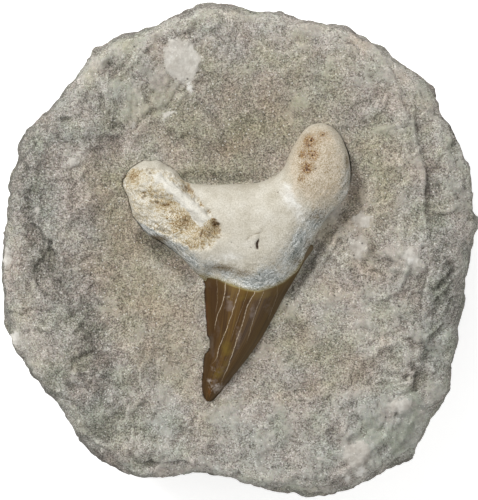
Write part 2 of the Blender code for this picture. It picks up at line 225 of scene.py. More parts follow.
def top_height(x, y):
    """Height of the slab's top."""
    flat = np.stack([x, y, np.zeros(np.shape(x))], axis=1)
    dish = np.hypot((x - DISH_CENTRE[0]) / DISH_HALF_SIZE[0], (y - DISH_CENTRE[1]) / DISH_HALF_SIZE[1])
    height = SLAB_TOP - DISH_DEPTH * (1 - eased((dish - 0.85) / 0.6))
    height += spots(x, y, LUMPS) - grooves(x, y, GROOVES) + ledge_height(x, y)
    far_out = eased(dish - 0.7)
    height += 0.55 * far_out * lumpy(flat, 11) + 0.3 * far_out * lumpy(flat, 5)
    shaken = 1.2 * lumpy(flat, 2.4, 2)
    height += scarps(x + shaken, y + shaken, SCARPS) - grooves(x + 0.4 * shaken, y, CUTS)
    cut = np.zeros(np.shape(x))
    for degrees, start, fall in BREAKS:
        a = math.radians(degrees)
        cut = np.maximum(cut, fall * (x * math.cos(a) + y * math.sin(a) - start))
    return height - cut


def on_disc(u, w):
    """Points of a square laid on the disc inside it, with cells of even size."""
    wide = np.abs(u) > np.abs(w)
    long = np.where(wide, u, np.where(w == 0, 1, w))
    angle = math.pi / 4 * np.where(wide, w, u) / long
    x = np.where(wide, u * np.cos(angle), w * np.sin(angle))
    y = np.where(wide, u * np.sin(angle), w * np.cos(angle))
    return x, y


def slab_points(unit):
    """Where the vertices of the unit square, and of the wall rows below its edge, lie on the slab."""
    u, w = on_disc(unit[:, 0], unit[:, 1])
    row = np.round(-unit[:, 2])
    angle, share = np.arctan2(w, u), np.hypot(u, w)
    outline = np.array(OUTLINE)
    corners = np.array(sorted(zip(np.arctan2(outline[:, 1], outline[:, 0]), np.hypot(*outline.T))))
    out = np.interp(angle, corners[:, 0], corners[:, 1], period=2 * math.pi)
    ray_x, ray_y = np.cos(angle), np.sin(angle)
    reach = out * RIM_REACH * np.minimum(share, 1)
    top = top_height(ray_x * reach, ray_y * reach)
    rounded = np.clip((share - RIM_START) / 0.06, 0, 1) ** 2 * RIM_ROUND
    left = np.maximum(0, 1 - row / WALL_ROWS)
    inward = np.maximum(0, row - WALL_ROWS) / (BASE_ROWS + 1)
    wide = np.interp(left, *np.array(WALL[::-1]).T)
    height = left * (top - RIM_ROUND)
    wall = out * wide
    for degrees, start, gain in UNDERCUTS:
        turned = np.maximum(0.5, np.cos(angle - math.radians(degrees)))
        wall = np.minimum(wall, (start + gain * height) / turned)
    wall -= WALL_ROUGH * np.abs(lumpy(np.stack([ray_x, ray_y, left], axis=1), 0.25))
    in_wall = row > 0
    far = np.where(in_wall, wall * (1 - inward), reach)
    x, y = ray_x * far, ray_y * far
    flat = np.stack([x, y, np.zeros(np.shape(x))], axis=1)
    height += BASE_RELIEF * eased(inward * 4) * np.abs(lumpy(flat, 9, 2))
    return np.stack([x, y, np.where(in_wall, height, top - rounded)], axis=1)


def clasts(x, y):
    """How far inside the nearest clast a point lies, in millimetres, and how white that clast is."""
    best = np.full(np.shape(x), -9.0)
    white = np.zeros(np.shape(x))
    for cx, cy, half_width, half_height, turn, whiteness in CLASTS:
        a = math.radians(turn)
        along_x = (x - cx) * math.cos(a) + (y - cy) * math.sin(a)
        along_y = (y - cy) * math.cos(a) - (x - cx) * math.sin(a)
        ratio = np.hypot(along_x / half_width, along_y / half_height)
        depth = (1 - ratio) * min(half_width, half_height)
        white = np.where(depth > best, whiteness, white)
        best = np.maximum(best, depth)
    return best, white


def roughness(x, y):
    """How coarsely the top is broken: least in the scraped dish, most at the right and the bottom."""
    dish = np.hypot((x - DISH_CENTRE[0]) / DISH_HALF_SIZE[0], (y - DISH_CENTRE[1]) / DISH_HALF_SIZE[1])
    return np.clip(0.45 + 0.7 * eased(dish - 0.75) + spots(x, y, ROUGH), 0.15, 1.6)


def creased(points, size, octaves):
    """Noise with sharp valleys between rounded lumps, as broken stone has."""
    return 2 * np.abs(lumpy(points, size, octaves)) - 0.5


def terraced(height):
    """Flat treads with short risers between them, less the slope itself."""
    tread = np.floor(height)
    return tread + eased((height - tread - 0.4) / 0.2) - height


def normals_of(mesh):
    found = np.empty(len(mesh.vertices) * 3)
    mesh.vertex_normals.foreach_get("vector", found)
    return found.reshape(-1, 3)


def points_of(mesh):
    """The vertices of a mesh, in millimetres."""
    found = np.empty(len(mesh.vertices) * 3)
    mesh.vertices.foreach_get("co", found)
    return found.reshape(-1, 3) * 1000


def place_points(mesh, points):
    mesh.vertices.foreach_set("co", (points / 1000).reshape(-1))
    mesh.update()


def chipped(points):
    """Hammer damage: flat and shell-shaped flakes off whatever stands out at the rim and down the wall."""
    draw = random.Random(11)
    for _ in range(FLATS):
        azimuth, lift = math.radians(draw.uniform(0, 360)), math.radians(draw.uniform(-45, 62))
        level = math.cos(lift)
        out = np.array([math.cos(azimuth) * level, math.sin(azimuth) * level, math.sin(lift)])
        bite = draw.uniform(*FLAT_BITE) * (0.25 + 0.75 * abs(math.sin(lift)))
        past = points @ out
        past = np.maximum(0, past - past.max() + bite)
        points = points - past[:, None] * out
    for _ in range(CHIPS):
        azimuth, height = math.radians(draw.uniform(0, 360)), draw.uniform(2, 25)
        radius, bite = draw.uniform(*CHIP_RADIUS), draw.uniform(*CHIP_BITE)
        ray = np.array([math.cos(azimuth), math.sin(azimuth)])
        ahead = points[:, :2] @ ray > 0.985 * np.hypot(*points[:, :2].T)
        near = (np.abs(points[:, 2] - height) < 1.5) & ahead
        if not near.any():
            continue
        rim = (points[near, :2] @ ray).max()
        centre = np.array([*ray * (rim + radius - bite), height + draw.uniform(-0.2, 0.9) * radius])
        away = points - centre
        far = np.linalg.norm(away, axis=1)
        inside = (far < radius) & (points[:, 2] > 0.6)
        points[inside] = centre + away[inside] * (radius / far[inside])[:, None]
    return points


bm = bmesh.new()
bmesh.ops.create_grid(bm, x_segments=SLAB_CELLS, y_segments=SLAB_CELLS, size=0.001)
rim = [e for e in bm.edges if e.is_boundary]
for _ in range(WALL_ROWS + BASE_ROWS):
    made = bmesh.ops.extrude_edge_only(bm, edges=rim)["geom"]
    rim = [e for e in made if isinstance(e, bmesh.types.BMEdge)]
    low = [v for v in made if isinstance(v, bmesh.types.BMVert)]
    bmesh.ops.translate(bm, verts=low, vec=(0, 0, -0.001))
bmesh.ops.contextual_create(bm, geom=rim)
slab_mesh = bpy.data.meshes.new("matrix_slab_rock")
bm.to_mesh(slab_mesh)
bm.free()
place_points(slab_mesh, slab_points(points_of(slab_mesh)))
bm = bmesh.new()
bm.from_mesh(slab_mesh)
bmesh.ops.recalc_face_normals(bm, faces=bm.faces)
bm.to_mesh(slab_mesh)
bm.free()

points = chipped(points_of(slab_mesh))
place_points(slab_mesh, points)
facing = normals_of(slab_mesh)
above_base = eased((points[:, 2] - 0.4) / 1.5)
rough = roughness(points[:, 0], points[:, 1])
on_top = eased(facing[:, 2] * 2 - 0.6)
shaken = 0.7 * lumpy(points + 60, 2.2, 3)
in_clast = eased(clasts(points[:, 0] + shaken, points[:, 1] - shaken)[0] / 0.5) * on_top
rough *= 1 - 0.6 * in_clast
crags = 0.3 * creased(points, 6, 2) + 0.22 * creased(points + 40, 2.2, 3)
ledges = terraced(2.2 * lumpy(points + 55, 16, 3)) + 0.6 * terraced(1.6 * lumpy(points + 5, 8, 3))
ledges *= LEDGE_STEP
sandy = 0.06 * lumpy(points + 90, 0.9, 2) + 0.12 * lumpy(points + 20, 2.0, 2)
bedding = 0.25 * lumpy(points * (0.12, 0.12, 1) + 70, 1.6, 2) * (1 - np.abs(facing[:, 2]))
raised = on_top * rough * (crags + ledges) + sandy + bedding
raised += 0.35 * lumpy(points + 15, 9, 2)
raised += 0.25 * in_clast
raised += (1 - on_top) * (0.35 * creased(points + 30, 7, 2) + 0.5 * ledges)
points = points + facing * (raised - 0.25)[:, None] * above_base[:, None]
slab_low, slab_high = (np.array(corner) * 1000 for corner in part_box("matrix_slab"))
place_points(slab_mesh, np.clip(points, slab_low, slab_high))
slab = bpy.data.objects.new("matrix_slab_rock", slab_mesh)
bpy.context.scene.collection.objects.link(slab)


# The tooth: root and crown grew as one. The root is spongy bone under a smooth skin, worn off the left
# lobe; the crown is dentine under a glossy coat of enamel, which ends at the neck in a U-shaped line.
# It lies with its flat outer face down, and the rock holds it.
SEAT = 24.4  # height of its widest line
TILT = 0.03  # how far that line rises for each millimetre to the right
ROOT_SINK = 0.55  # depth below the widest line, as a share of the rise above it
CROWN_SINK = 0.42
LOBE_POWER = 0.46  # how full a lobe's cross-section is: 0.5 is an ellipse, 1 a parabola
NECK_POWER = 0.9
CROWN_POWER = 0.85
CREST_ROOM = 0.8  # a crest that comes nearer than this to the top of the frame's box is pressed down,
CREST_PRESS = 0.6  # by this share of what stands above
ROOT_ROWS = 300
ROOT_RING = 225
CROWN_ROWS = 140
CROWN_RING = 120

# Sections of the root from the left lobe to the right one: the point on the edge between the lobes, the
# point on the edge towards the crown, the rise, and how far the section belongs to the neck.
ROOT = [
    (-25.1, 14.2, -25.1, 14.2, 0.0, 0.0), (-24.9, 15.1, -24.9, 13.3, 1.0, 0.0),
    (-24.2, 16.2, -24.1, 12.1, 2.5, 0.0), (-22.7, 17.9, -23.2, 9.3, 4.3, 0.0),
    (-19.9, 19.2, -21.8, 6.0, 5.4, 0.0), (-16.9, 18.9, -19.0, 3.0, 5.9, 0.0),
    (-13.9, 17.1, -15.6, 1.2, 6.2, 0.0), (-11.2, 14.7, -12.6, -1.4, 6.6, 0.05),
    (-7.5, 14.0, -9.9, -4.2, 7.2, 0.3), (-3.7, 14.0, -5.3, -8.4, 7.9, 0.85),
    (0.2, 14.1, 0.1, -12.0, 8.3, 1.0), (3.6, 14.3, 4.2, -12.9, 8.4, 1.0),
    (6.4, 15.2, 8.9, -9.4, 8.2, 0.95), (8.5, 16.4, 12.9, -4.0, 7.7, 0.6),
    (9.8, 18.0, 14.7, 0.0, 7.2, 0.2), (10.6, 20.1, 16.9, 3.9, 6.8, 0.0),
    (11.7, 22.3, 19.2, 7.5, 6.6, 0.0), (12.8, 24.1, 21.6, 9.8, 6.4, 0.0),
    (14.1, 25.8, 23.3, 12.5, 6.0, 0.0), (15.6, 26.8, 23.8, 16.1, 5.4, 0.0),
    (17.5, 27.1, 23.4, 19.9, 4.5, 0.0), (19.4, 26.5, 22.4, 22.9, 2.8, 0.0),
    (20.7, 25.6, 21.8, 24.2, 1.1, 0.0), (21.3, 25.0, 21.3, 25.0, 0.0, 0.0),
]  # fmt: skip

# Sections of the crown from under the root to the tip: left edge, right edge and rise.
CROWN = [
    (3.8, -0.7, 3.8, -0.7, 0.0), (-7.8, -2.6, 15.4, 1.2, 4.2), (-7.6, -6.2, 13.6, -3.2, 4.6),
    (-7.3, -10.7, 9.7, -9.9, 4.7), (-7.1, -15.0, 7.1, -14.8, 4.5), (-7.1, -19.3, 4.4, -19.5, 4.1),
    (-7.6, -24.0, 1.3, -23.8, 3.4), (-7.9, -27.8, -1.9, -27.8, 2.6), (-7.9, -30.4, -4.2, -30.7, 1.7),
    (-7.4, -32.0, -5.8, -32.3, 0.8), (-6.7, -32.5, -6.7, -32.5, 0.0),
]  # fmt: skip
CROWN_NOTCH = (-20.2, 1.7, 0.8)  # where matrix bites into the crown's left edge: y, half-height, depth

# The left lobe's outline is nibbled: how far, and how wide the bites are.
NIBBLED = 0.3
NIBBLE_SIZE = 2.2

# Where the root's surface is raised or eaten away: x, y, half-width, half-height and rise.
ROOT_MARKS = [
    (-15.8, 8.8, 2.6, 2.0, -0.7), (-11.5, 4.6, 2.6, 1.9, -0.8), (-19.5, 13.6, 2.2, 2.0, 0.4),
    (2.6, 3.4, 2.0, 1.8, 0.4), (15.6, 20.5, 1.8, 3.2, -0.3),
]  # fmt: skip
ROOT_GROOVES = [
    ([(-14.6, 13.6), (-10.4, 9.8), (-6.6, 6.0)], 1.5, -0.8),
    ([(-10.6, 14.4), (-8.2, 11.0), (-5.0, 7.6), (-3.6, 3.6)], 1.2, 0.7),
]

# Round the left lobe the smooth skin is worn away inside this closed line, and spongy bone is bare.
BARE = [
    (-10.7, 14.6), (-9.9, 12.6), (-8.4, 11.2), (-7.4, 9.6), (-5.2, 7.6), (-3.9, 5.4), (-3.6, 3.2),
    (-5.5, 0.2), (-8.0, -0.5), (-10.4, 0.1), (-13.3, 1.7), (-15.8, 2.9), (-19.0, 4.4), (-23.0, 6.8),
    (-26.4, 9.6), (-27.0, 13.4), (-25.6, 16.6), (-21.6, 17.6), (-18.0, 17.7), (-14.8, 16.7),
    (-12.2, 15.6), (-10.7, 14.6),
]  # fmt: skip
SKIN_THICK = 0.4
RIDGE = [(-17.0, 15.4), (-12.4, 11.4), (-5.4, 4.6)]  # a chalky plate that still stands in the bare bone
RIDGE_END = 8.9  # how far along the diagonal it is broken off square
RIDGE_HALF = (1.05, 0.9)  # its half-width at the upper end, and what it gains towards the other
HOLLOW = [(-21.2, 12.0), (-15.9, 9.8), (-11.4, 6.6), (-7.3, 3.6), (-4.8, 1.3)]

# Pits lie under the skin's broken edge, along this line.
RAGGED = [(-10.4, 13.2), (-8.4, 10.6), (-6.4, 8.6), (-4.6, 6.2), (-4.2, 4.2)]

# Nutrient holes: the slot, the line round the raised flap beside it, and round pores, each x, y, radius.
SLOT = [(4.45, 3.4), (4.2, 2.4), (3.75, 1.3), (3.85, 0.4)]
FLAP = [(1.5, 1.9), (2.2, 2.9), (3.2, 3.4), (4.45, 3.6)]
FLAP_RISE = [(2.9, 2.5, 1.2, 0.8, 0.3)]
PORE_DEEP = 0.9  # depth of a pore, as a share of its radius
PORES = [
    (-1.66, 1.6, 0.3), (-0.27, 0.64, 0.24), (2.5, 0.53, 0.28), (1.9, 1.7, 0.16), (15.2, 23.2, 0.34),
    (14.8, 22.2, 0.3), (13.8, 22.4, 0.2), (15.5, 19.9, 0.3), (15.0, 19.3, 0.2), (16.2, 17.1, 0.24),
    (14.3, 16.9, 0.34), (13.6, 17.3, 0.22), (12.8, 19.9, 0.2), (17.7, 24.4, 0.24), (16.2, 17.1, 0.2),
    (13.0, 14.7, 0.22), (8.2, 12.2, 0.18), (-6.4, 12.4, 0.16), (-3.1, 10.4, 0.14), (1.0, 9.0, 0.13),
    (3.9, 7.1, 0.15), (6.7, 6.0, 0.14), (-1.9, 6.2, 0.13), (0.2, 4.8, 0.14),
]  # fmt: skip

# The line where the enamel meets the root, from the crown's left edge to its right, how far the root
# stands above the enamel there, and how far up the root takes to leave the enamel's slope.
NECK_LINE = [
    (-28.0, 8.0), (-20.0, 2.4), (-14.6, -1.4), (-11.2, -4.4), (-9.0, -5.5), (-7.3, -5.7), (-4.75, -6.2),
    (-1.55, -7.5), (1.87, -8.5), (4.0, -8.8), (7.0, -7.9), (9.6, -6.8), (12.1, -4.7), (14.5, -1.5),
    (17.4, 2.8), (20.4, 6.8), (26.0, 12.0), (30.0, 20.0),
]  # fmt: skip
NECK_LIP = 0.35
NECK_BLEND = 3.4


def along(rows, count):
    """count rows on a smooth curve through the given rows, evenly spread over them."""
    rows = np.array(rows, float)
    padded = np.vstack([2 * rows[0] - rows[1], rows, 2 * rows[-1] - rows[-2]])
    places = np.linspace(0, len(rows) - 1, count)
    first = np.minimum(places.astype(int), len(rows) - 2)
    t = (places - first)[:, None]
    a, b, c, d = (padded[first + i] for i in range(4))
    bend = 2 * a - 5 * b + 4 * c - d
    return b + 0.5 * t * (c - a + t * (bend + t * (3 * (b - c) + d - a)))


def rolled(rows, ring_size, points_at):
    """A closed skin: a sheet with a row of vertices for each section, rolled up and welded."""
    bm = bmesh.new()
    bmesh.ops.create_grid(bm, x_segments=len(rows) - 1, y_segments=ring_size, size=1)
    unit = np.array([v.co for v in bm.verts])
    section = np.round((unit[:, 0] + 1) / 2 * (len(rows) - 1)).astype(int)
    turn = np.round((unit[:, 1] + 1) / 2 * ring_size) / ring_size % 1
    points = points_at(rows[section].T, *around(turn))
    for v, point in zip(bm.verts, points / 1000):
        v.co = point
    bmesh.ops.remove_doubles(bm, verts=bm.verts, dist=1e-7)
    bmesh.ops.recalc_face_normals(bm, faces=bm.faces)
    return bm


def around(turn):
    """Across and up on the unit circle. Two thirds of the turn go over the top, evenly enough to carve."""
    over = turn < 2 / 3
    top = turn * 1.5
    above = 0.7 * np.cos(math.pi * top) + 0.3 * (1 - 2 * top)
    across = np.where(over, above, np.cos(math.pi * (3 * turn - 1)))
    return across, np.where(over, 1, -1) * np.sqrt(np.maximum(0, 1 - across**2))


def seat_height(x):
    return SEAT + TILT * x


def bare_bone(x, y):
    """How far inside the bare spongy part of the root a point lies."""
    far, side = off_line(x, y, BARE)
    return far * np.where(side < 0, 1, -1)


def above_neck(x, y):
    """How far a point lies on the root's side of the neck."""
    far, side = off_line(x, y, NECK_LINE)
    return far * np.where(side > 0, 1, -1)


def on_crown(x, y):
    """Where points lie over the crown: across it (-1 to 1), along it (0 to 1), and the enamel's height."""
    rows = along(CROWN[1:], 60)
    run = rows[:, 2:4] - rows[:, :2]
    wide = np.maximum(0.4, np.hypot(*run.T))
    off = (run[:, 0] * (y[:, None] - rows[:, 1]) - run[:, 1] * (x[:, None] - rows[:, 0])) / wide
    after = np.clip((off > 0).argmax(axis=1), 1, len(rows) - 1)
    each = np.arange(len(x))
    before, beyond = off[each, after - 1], off[each, after]
    share = np.clip(before / np.minimum(before - beyond, -1e-6), 0, 1)
    row = rows[after - 1] + (rows[after] - rows[after - 1]) * share[:, None]
    run = row[:, 2:4] - row[:, :2]
    squared = np.maximum(0.2, (run**2).sum(1))
    across = ((x - row[:, 0]) * run[:, 0] + (y - row[:, 1]) * run[:, 1]) / squared * 2 - 1
    height = seat_height(x) + np.maximum(0, 1 - across**2) ** CROWN_POWER * row[:, 4]
    return across, (after - 1 + share) / (len(rows) - 1), height


def meet_enamel(x, y, height):
    """Brings the root down to a thin lip over the enamel at the neck, and below the enamel past it."""
    across, _, enamel = on_crown(x, y)
    far = above_neck(x, y)
    lip = enamel + NECK_LIP * (1 - np.exp(-np.maximum(0, far) / 0.3))
    buried = enamel - 0.8 * eased(-far / 0.3)
    blended = np.where(far > 0, lip + (height - lip) * eased(far / NECK_BLEND), buried)
    return height + (blended - height) * eased((1 - np.abs(across)) / 0.12)


def root_points(row, across, up):
    """Points of root sections. across runs from the edge towards the crown, at -1, to the other, at 1."""
    base_x, base_y, neck_x, neck_y, rise, neck = row
    neck_share = (1 - across) / 2
    x = base_x + (neck_x - base_x) * neck_share
    y = base_y + (neck_y - base_y) * neck_share
    flat = np.stack([x, y, np.zeros(np.shape(x))], axis=1)
    nibbled = NIBBLED * eased((-8 - x) / 5)
    x = x + nibbled * lumpy(flat + 5, NIBBLE_SIZE, 2)
    y = y + nibbled * lumpy(flat + 65, NIBBLE_SIZE, 2)
    peak = 0.1 * neck
    skewed = (across - peak) / (1 - peak * across)
    power = LOBE_POWER + (NECK_POWER - LOBE_POWER) * neck * (skewed < 0)
    height = rise * np.maximum(0, 1 - skewed**2) ** power
    carved = spots(x, y, ROOT_MARKS) - grooves(x, y, ROOT_GROOVES)
    over = meet_enamel(x, y, seat_height(x) + height + carved * eased(height / 3))
    return np.stack([x, y, np.where(up < 0, seat_height(x) + ROOT_SINK * rise * up, over)], axis=1)


def crown_points(row, across, up):
    """Points of crown sections: a lens between the cutting edges, more domed above than below."""
    left_x, left_y, right_x, right_y, rise = row
    share = (1 + across) / 2
    x = left_x + (right_x - left_x) * share
    y = left_y + (right_y - left_y) * share
    notch_y, notch_half, notch_deep = CROWN_NOTCH
    bitten = notch_deep * eased((notch_half - np.abs(left_y - notch_y)) / 1.1 + 0.5)
    x = x + bitten * np.maximum(0, 1 - (x - left_x) / (2.2 * notch_deep))
    bulge = np.maximum(0, 1 - across**2) ** CROWN_POWER * rise
    return np.stack([x, y, seat_height(x) + bulge * np.where(up > 0, 1, -CROWN_SINK)], axis=1)


def add_mesh(name, bm):
    mesh = bpy.data.meshes.new(name)
    bm.to_mesh(mesh)
    bm.free()
    obj = bpy.data.objects.new(name, mesh)
    bpy.context.scene.collection.objects.link(obj)
    return obj


def cut_or_join(obj, other, operation):
    """Applies one Boolean and removes its other object."""
    modifier = obj.modifiers.new(other.name, "BOOLEAN")
    modifier.operation = operation
    modifier.object = other
    bpy.context.view_layer.update()
    graph = bpy.context.evaluated_depsgraph_get()
    made = bpy.data.meshes.new_from_object(obj.evaluated_get(graph))
    obj.modifiers.remove(modifier)
    obj.data = made
    bpy.data.objects.remove(other)


def worn(points):
    """Three shares at each point: bare spongy bone, a pit in it, and its chalky plate."""
    x, y = points[:, 0], points[:, 1]
    flat = points * (1, 1, 0)
    spongy = eased((bare_bone(x, y) + 0.6 * lumpy(flat, 1.2, 2)) / 0.4)
    half = RIDGE_HALF[0] + RIDGE_HALF[1] * eased((x + 16) / 8)
    chips = lumpy(flat + 15, 1.3, 5)
    plate = eased((half - off_line(x, y, RIDGE)[0] + 0.7 * chips) / 0.35)
    plate *= eased(((y - x) * np.sqrt(0.5) - RIDGE_END + 0.6 * chips) / 0.35)
    hollow = np.exp(-((off_line(x, y, HOLLOW)[0] / 2.2) ** 2))
    ragged = np.exp(-((off_line(x, y, RAGGED)[0] / 0.9) ** 2))
    cells = lumpy(flat + 30, 0.6) + 0.7 * lumpy(flat + 80, 0.35)
    patchy = 0.7 * lumpy(flat + 25, 2.6, 2) - 0.5 * eased((-17.5 - x - 0.9 * (y - 12)) / 6)
    pits = eased((cells + patchy - 0.55 + 0.25 * hollow + 1.05 * ragged - 0.8 * plate) * 3)
    return spongy, pits * spongy, plate * spongy


def carve_root(points, facing):
    """The root's fine relief: bare spongy bone, its skin's broken edge, pores, and fibres at the neck."""
    x, y = points[:, 0], points[:, 1]
    on_top = eased((facing[:, 2] - 0.1) / 0.4)
    spongy, pits, plate = worn(points)
    crumbs = 0.3 * lumpy(points, 1.8, 4) + 0.25 * creased(points + 45, 1.5, 2)
    deep = spongy * (0.12 * plate - SKIN_THICK - 0.45 * pits + (1 - 0.4 * plate) * crumbs)
    deep -= 0.5 * grooves(x, y, [(HOLLOW, 1.7, spongy)])
    deep -= 0.5 * grooves(x, y, [(RAGGED, 0.7, spongy)]) * eased(lumpy(points + 60, 1.5) * 2 + 0.8)
    neck = above_neck(x, y)
    wandering = neck + 0.7 * lumpy(points + 35, 2.4, 2)
    fibres = lumpy(np.stack([wandering * 2.4, x * 0.3 + y * 0.2, y * 0.2], axis=1), 1.0, 2)
    deep += (1 - spongy) * (0.08 * lumpy(points + 10, 1.8, 4) + 0.12 * lumpy(points + 50, 5, 2))
    deep += 0.11 * fibres * eased((9 - neck) / 4) * eased((x + 6) / 8) * (neck > 0.2)
    deep -= grooves(x, y, [(FLAP, 0.22, 0.34)])
    deep += spots(x, y, FLAP_RISE)
    slot, side = off_line(x, y, SLOT)
    slot_half = 0.12 + 0.2 * eased((2.4 - y) / 1.2)
    slot_deep = (0.25 + 0.65 * eased((2.8 - y) / 1.2)) * np.exp(-((slot / slot_half) ** 2))
    deep -= slot_deep * eased((y + 0.6) / 1.2)
    deep += 0.35 * np.exp(-((slot - 0.7) ** 2) / 0.5) * (side < 0)
    for pore_x, pore_y, radius in PORES:
        deep -= PORE_DEEP * radius * np.exp(-((np.hypot(x - pore_x, y - pore_y) / radius) ** 2))
    return deep * on_top


root = add_mesh("tooth_fossil", rolled(along(ROOT, ROOT_ROWS), ROOT_RING, root_points))
root_at, root_facing = points_of(root.data), normals_of(root.data)
root_at += root_facing * carve_root(root_at, root_facing)[:, None]
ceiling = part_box("tooth")[1][2] * 1000 - CREST_ROOM
root_at[:, 2] -= CREST_PRESS * np.maximum(0, root_at[:, 2] - ceiling)
place_points(root.data, root_at)
crown = add_mesh("crown", rolled(along(CROWN, CROWN_ROWS), CROWN_RING, crown_points))

# Material slot 0 is for the bone of the root, and slot 1 for the enamel of the crown.
for face in crown.data.polygons:
    face.material_index = 1
for piece in (root, crown):
    for _ in range(2):
        piece.data.materials.append(None)
cut_or_join(root, crown, "UNION")
tooth = root


# The socket: where the rock grips the tooth. Sand has fallen away along its edge, so the crack varies.
SOCKET_ROWS = 120
SOCKET_RING = 80
CRACK = (0.03, 0.12)  # least width of the crack and how far it wanders
OPEN_CRACK = [(23.5, 17, 3, 7, 0.35), (-17, 2.5, 3, 2, 0.2), (-24, 9, 2, 4, 0.1), (13.5, -1, 3, 4, 0.1)]

for rows, points_at in ((ROOT, root_points), (CROWN, crown_points)):
    cutter = add_mesh("socket", rolled(along(rows, SOCKET_ROWS), SOCKET_RING, points_at))
    at, facing = points_of(cutter.data), normals_of(cutter.data)
    grown = CRACK[0] + CRACK[1] * np.maximum(0, lumpy(at, 3.5, 3)) + spots(at[:, 0], at[:, 1], OPEN_CRACK)
    place_points(cutter.data, at + facing * grown[:, None])
    cut_or_join(slab, cutter, "DIFFERENCE")


def standing_out(mesh, points, rounds):
    """How far each vertex stands above its surroundings: more rounds of averaging look further round."""
    ends = np.empty(len(mesh.edges) * 2, int)
    mesh.edges.foreach_get("vertices", ends)
    first, second = ends.reshape(-1, 2).T
    count = np.bincount(ends, minlength=len(points))
    mean = points[:, 2]
    for _ in range(rounds):
        beside_first = np.bincount(first, mean[second], len(points))
        beside_second = np.bincount(second, mean[first], len(points))
        mean = (beside_first + beside_second) / count
    return points[:, 2] - mean


def paint(mesh, name, values):
    mesh.attributes.new(name, "FLOAT", "POINT").data.foreach_set("value", np.asarray(values, float))


def linear(code):
    """An sRGB hex colour as linear RGBA."""
    parts = [int(code[i : i + 2], 16) / 255 for i in (1, 3, 5)]
    return (*[c / 12.92 if c <= 0.04045 else ((c + 0.055) / 1.055) ** 2.4 for c in parts], 1)


def add(tree, kind, inputs=(), stops=(), **settings):
    """Adds one shader node: its settings, its inputs as values or sockets, and a ramp's stops."""
    made = tree.nodes.new("ShaderNode" + kind)
    for name, value in settings.items():
        setattr(made, name, value)
    for name, value in dict(inputs).items():
        if isinstance(value, bpy.types.NodeSocket):
            tree.links.new(value, made.inputs[name])
        else:
            made.inputs[name].default_value = value
    for i, (at, code) in enumerate(stops):
        stop = made.color_ramp.elements[i] if i < 2 else made.color_ramp.elements.new(at)
        stop.position, stop.color = at, linear(code)
    return made


# Material of the slab: sandy limestone, as broken. Dull, and peppered with pale quartz and shell grains and
# dark phosphate ones, 0.3 to 0.6 mm across.
slab.data.shade_smooth()
slab_at = points_of(slab.data)
x, y = slab_at[:, 0], slab_at[:, 1]

# Where the stone is warmer and browner, cooler and greener, paler, or darker: x, y, half-width, half-height
# and amount. Some darker rows are painted shadow: beside the tooth's left lobe, right lobe and crown, along
# the root's top edge, below the ledge at the right, and on the right wall, where a cool row goes with them.
WARM = [
    (-1, 21.5, 15, 7, 0.7), (-23, -4, 8, 14, 0.7), (-16, -12, 8, 11, 0.6), (-28, 11, 5, 9, 0.7),
    (22.5, -24.5, 8, 4, 0.6), (30, 8.5, 6, 6, 0.5), (-12.5, -24, 5, 7, 0.5), (-8, -37, 4, 4, 0.4),
    (20, 40, 14, 6, 0.4), (24.7, -28.3, 6, 1.6, 0.6), (7, 30, 10, 6, 0.5), (10, 14.5, 5, 1.2, 0.6),
    (12, -17, 5, 5, 0.8), (32, 20, 6, 8, 0.5),
]  # fmt: skip
COOL = [
    (-32, -32, 10, 9, 0.8), (-15.5, -36, 3.5, 9, 0.9), (-1, -35.5, 7, 4, 0.6), (44, -8, 6, 13, 1.3),
    (32, -38, 12, 9, 1.1), (-43, 15, 7, 12, 0.7), (-8.5, 46, 3, 2, 0.9), (43, -20, 4, 6, 0.6),
    (-38, -8, 6, 8, 0.5), (4, -44, 16, 7, 0.9), (-34, 30, 8, 6, 0.5), (37, -2, 4, 4, 0.4),
    (24, -14, 10, 8, 0.35), (30, -40, 10, 6, 0.3),
]  # fmt: skip
PALE = [
    (-21, 32, 4.6, 3, 0.9), (22.5, 3.2, 6, 5, 0.7), (36.2, -1.7, 3.6, 4.2, 1.4), (20.5, -12.8, 8, 5, 0.7),
    (28, 40, 11, 5, 0.5), (-15.8, -36, 1.8, 9, 0.9), (-1, -35.3, 6, 3, 0.7), (43, -19, 2.6, 5, 0.9),
    (34.4, -33.2, 4, 2, 1.0), (-23, -21, 4, 4, 0.4), (-48, 0, 2, 3, 0.8), (-48, -18.6, 2, 2, 0.8),
    (-37, 19, 2.4, 2.6, 0.7), (8, -40, 8, 5, 0.3), (29, -19, 5, 3, 0.4), (32, -36, 9, 6, 0.5),
    (6, -44, 12, 5, 0.4), (-33, 39, 2, 4, 0.6), (38.6, 24, 1.6, 8, 0.4), (26, -43, 5, 5, 0.5),
    (-47.6, 10, 1.6, 5, 0.5),
]  # fmt: skip
DARK_AND_SHADOWED = [
    (-36, 4, 11, 16, 0.6), (6, 26, 22, 12, 0.25), (-34, -30, 12, 10, 0.3), (-47, 8, 5, 20, 0.8),
    (-36, 30, 8, 8, 0.6), (-4, 32, 7, 5, 0.6), (-1, 22, 13, 6, 0.4), (-44.5, 17, 4.5, 10, 0.8),
    (44, -8, 4.2, 12, 1.2), (41, 13, 2.4, 6, 0.6), (19.5, -21.5, 9, 6, 0.4), (12.5, -17.5, 2.4, 5, 0.6),
    (-18, 1.2, 5, 2.2, 1.4), (-16, -3, 6, 4, 0.3), (-38, -28, 5, 8, 0.2), (30, -39, 9, 6, -0.8),
    (22, -14, 9, 7, -0.35), (-25, 36, 8, 6, -0.4), (-30, 21.5, 3, 3, 0.4), (-13, 27, 2.4, 3, 0.6),
    (13, -42, 4, 3, 0.4), (24, -36, 6, 2.2, 0.5), (25.5, 16, 1.6, 7, 0.2), (-3, 15.4, 9, 1.4, 0.4),
    (-24.4, 38.5, 3, 2, 0.4), (30, -42, 2, 3, 0.5), (-17.5, 24.8, 1, 0.8, 0.9), (33, -24, 5, 3, 0.4),
]  # fmt: skip
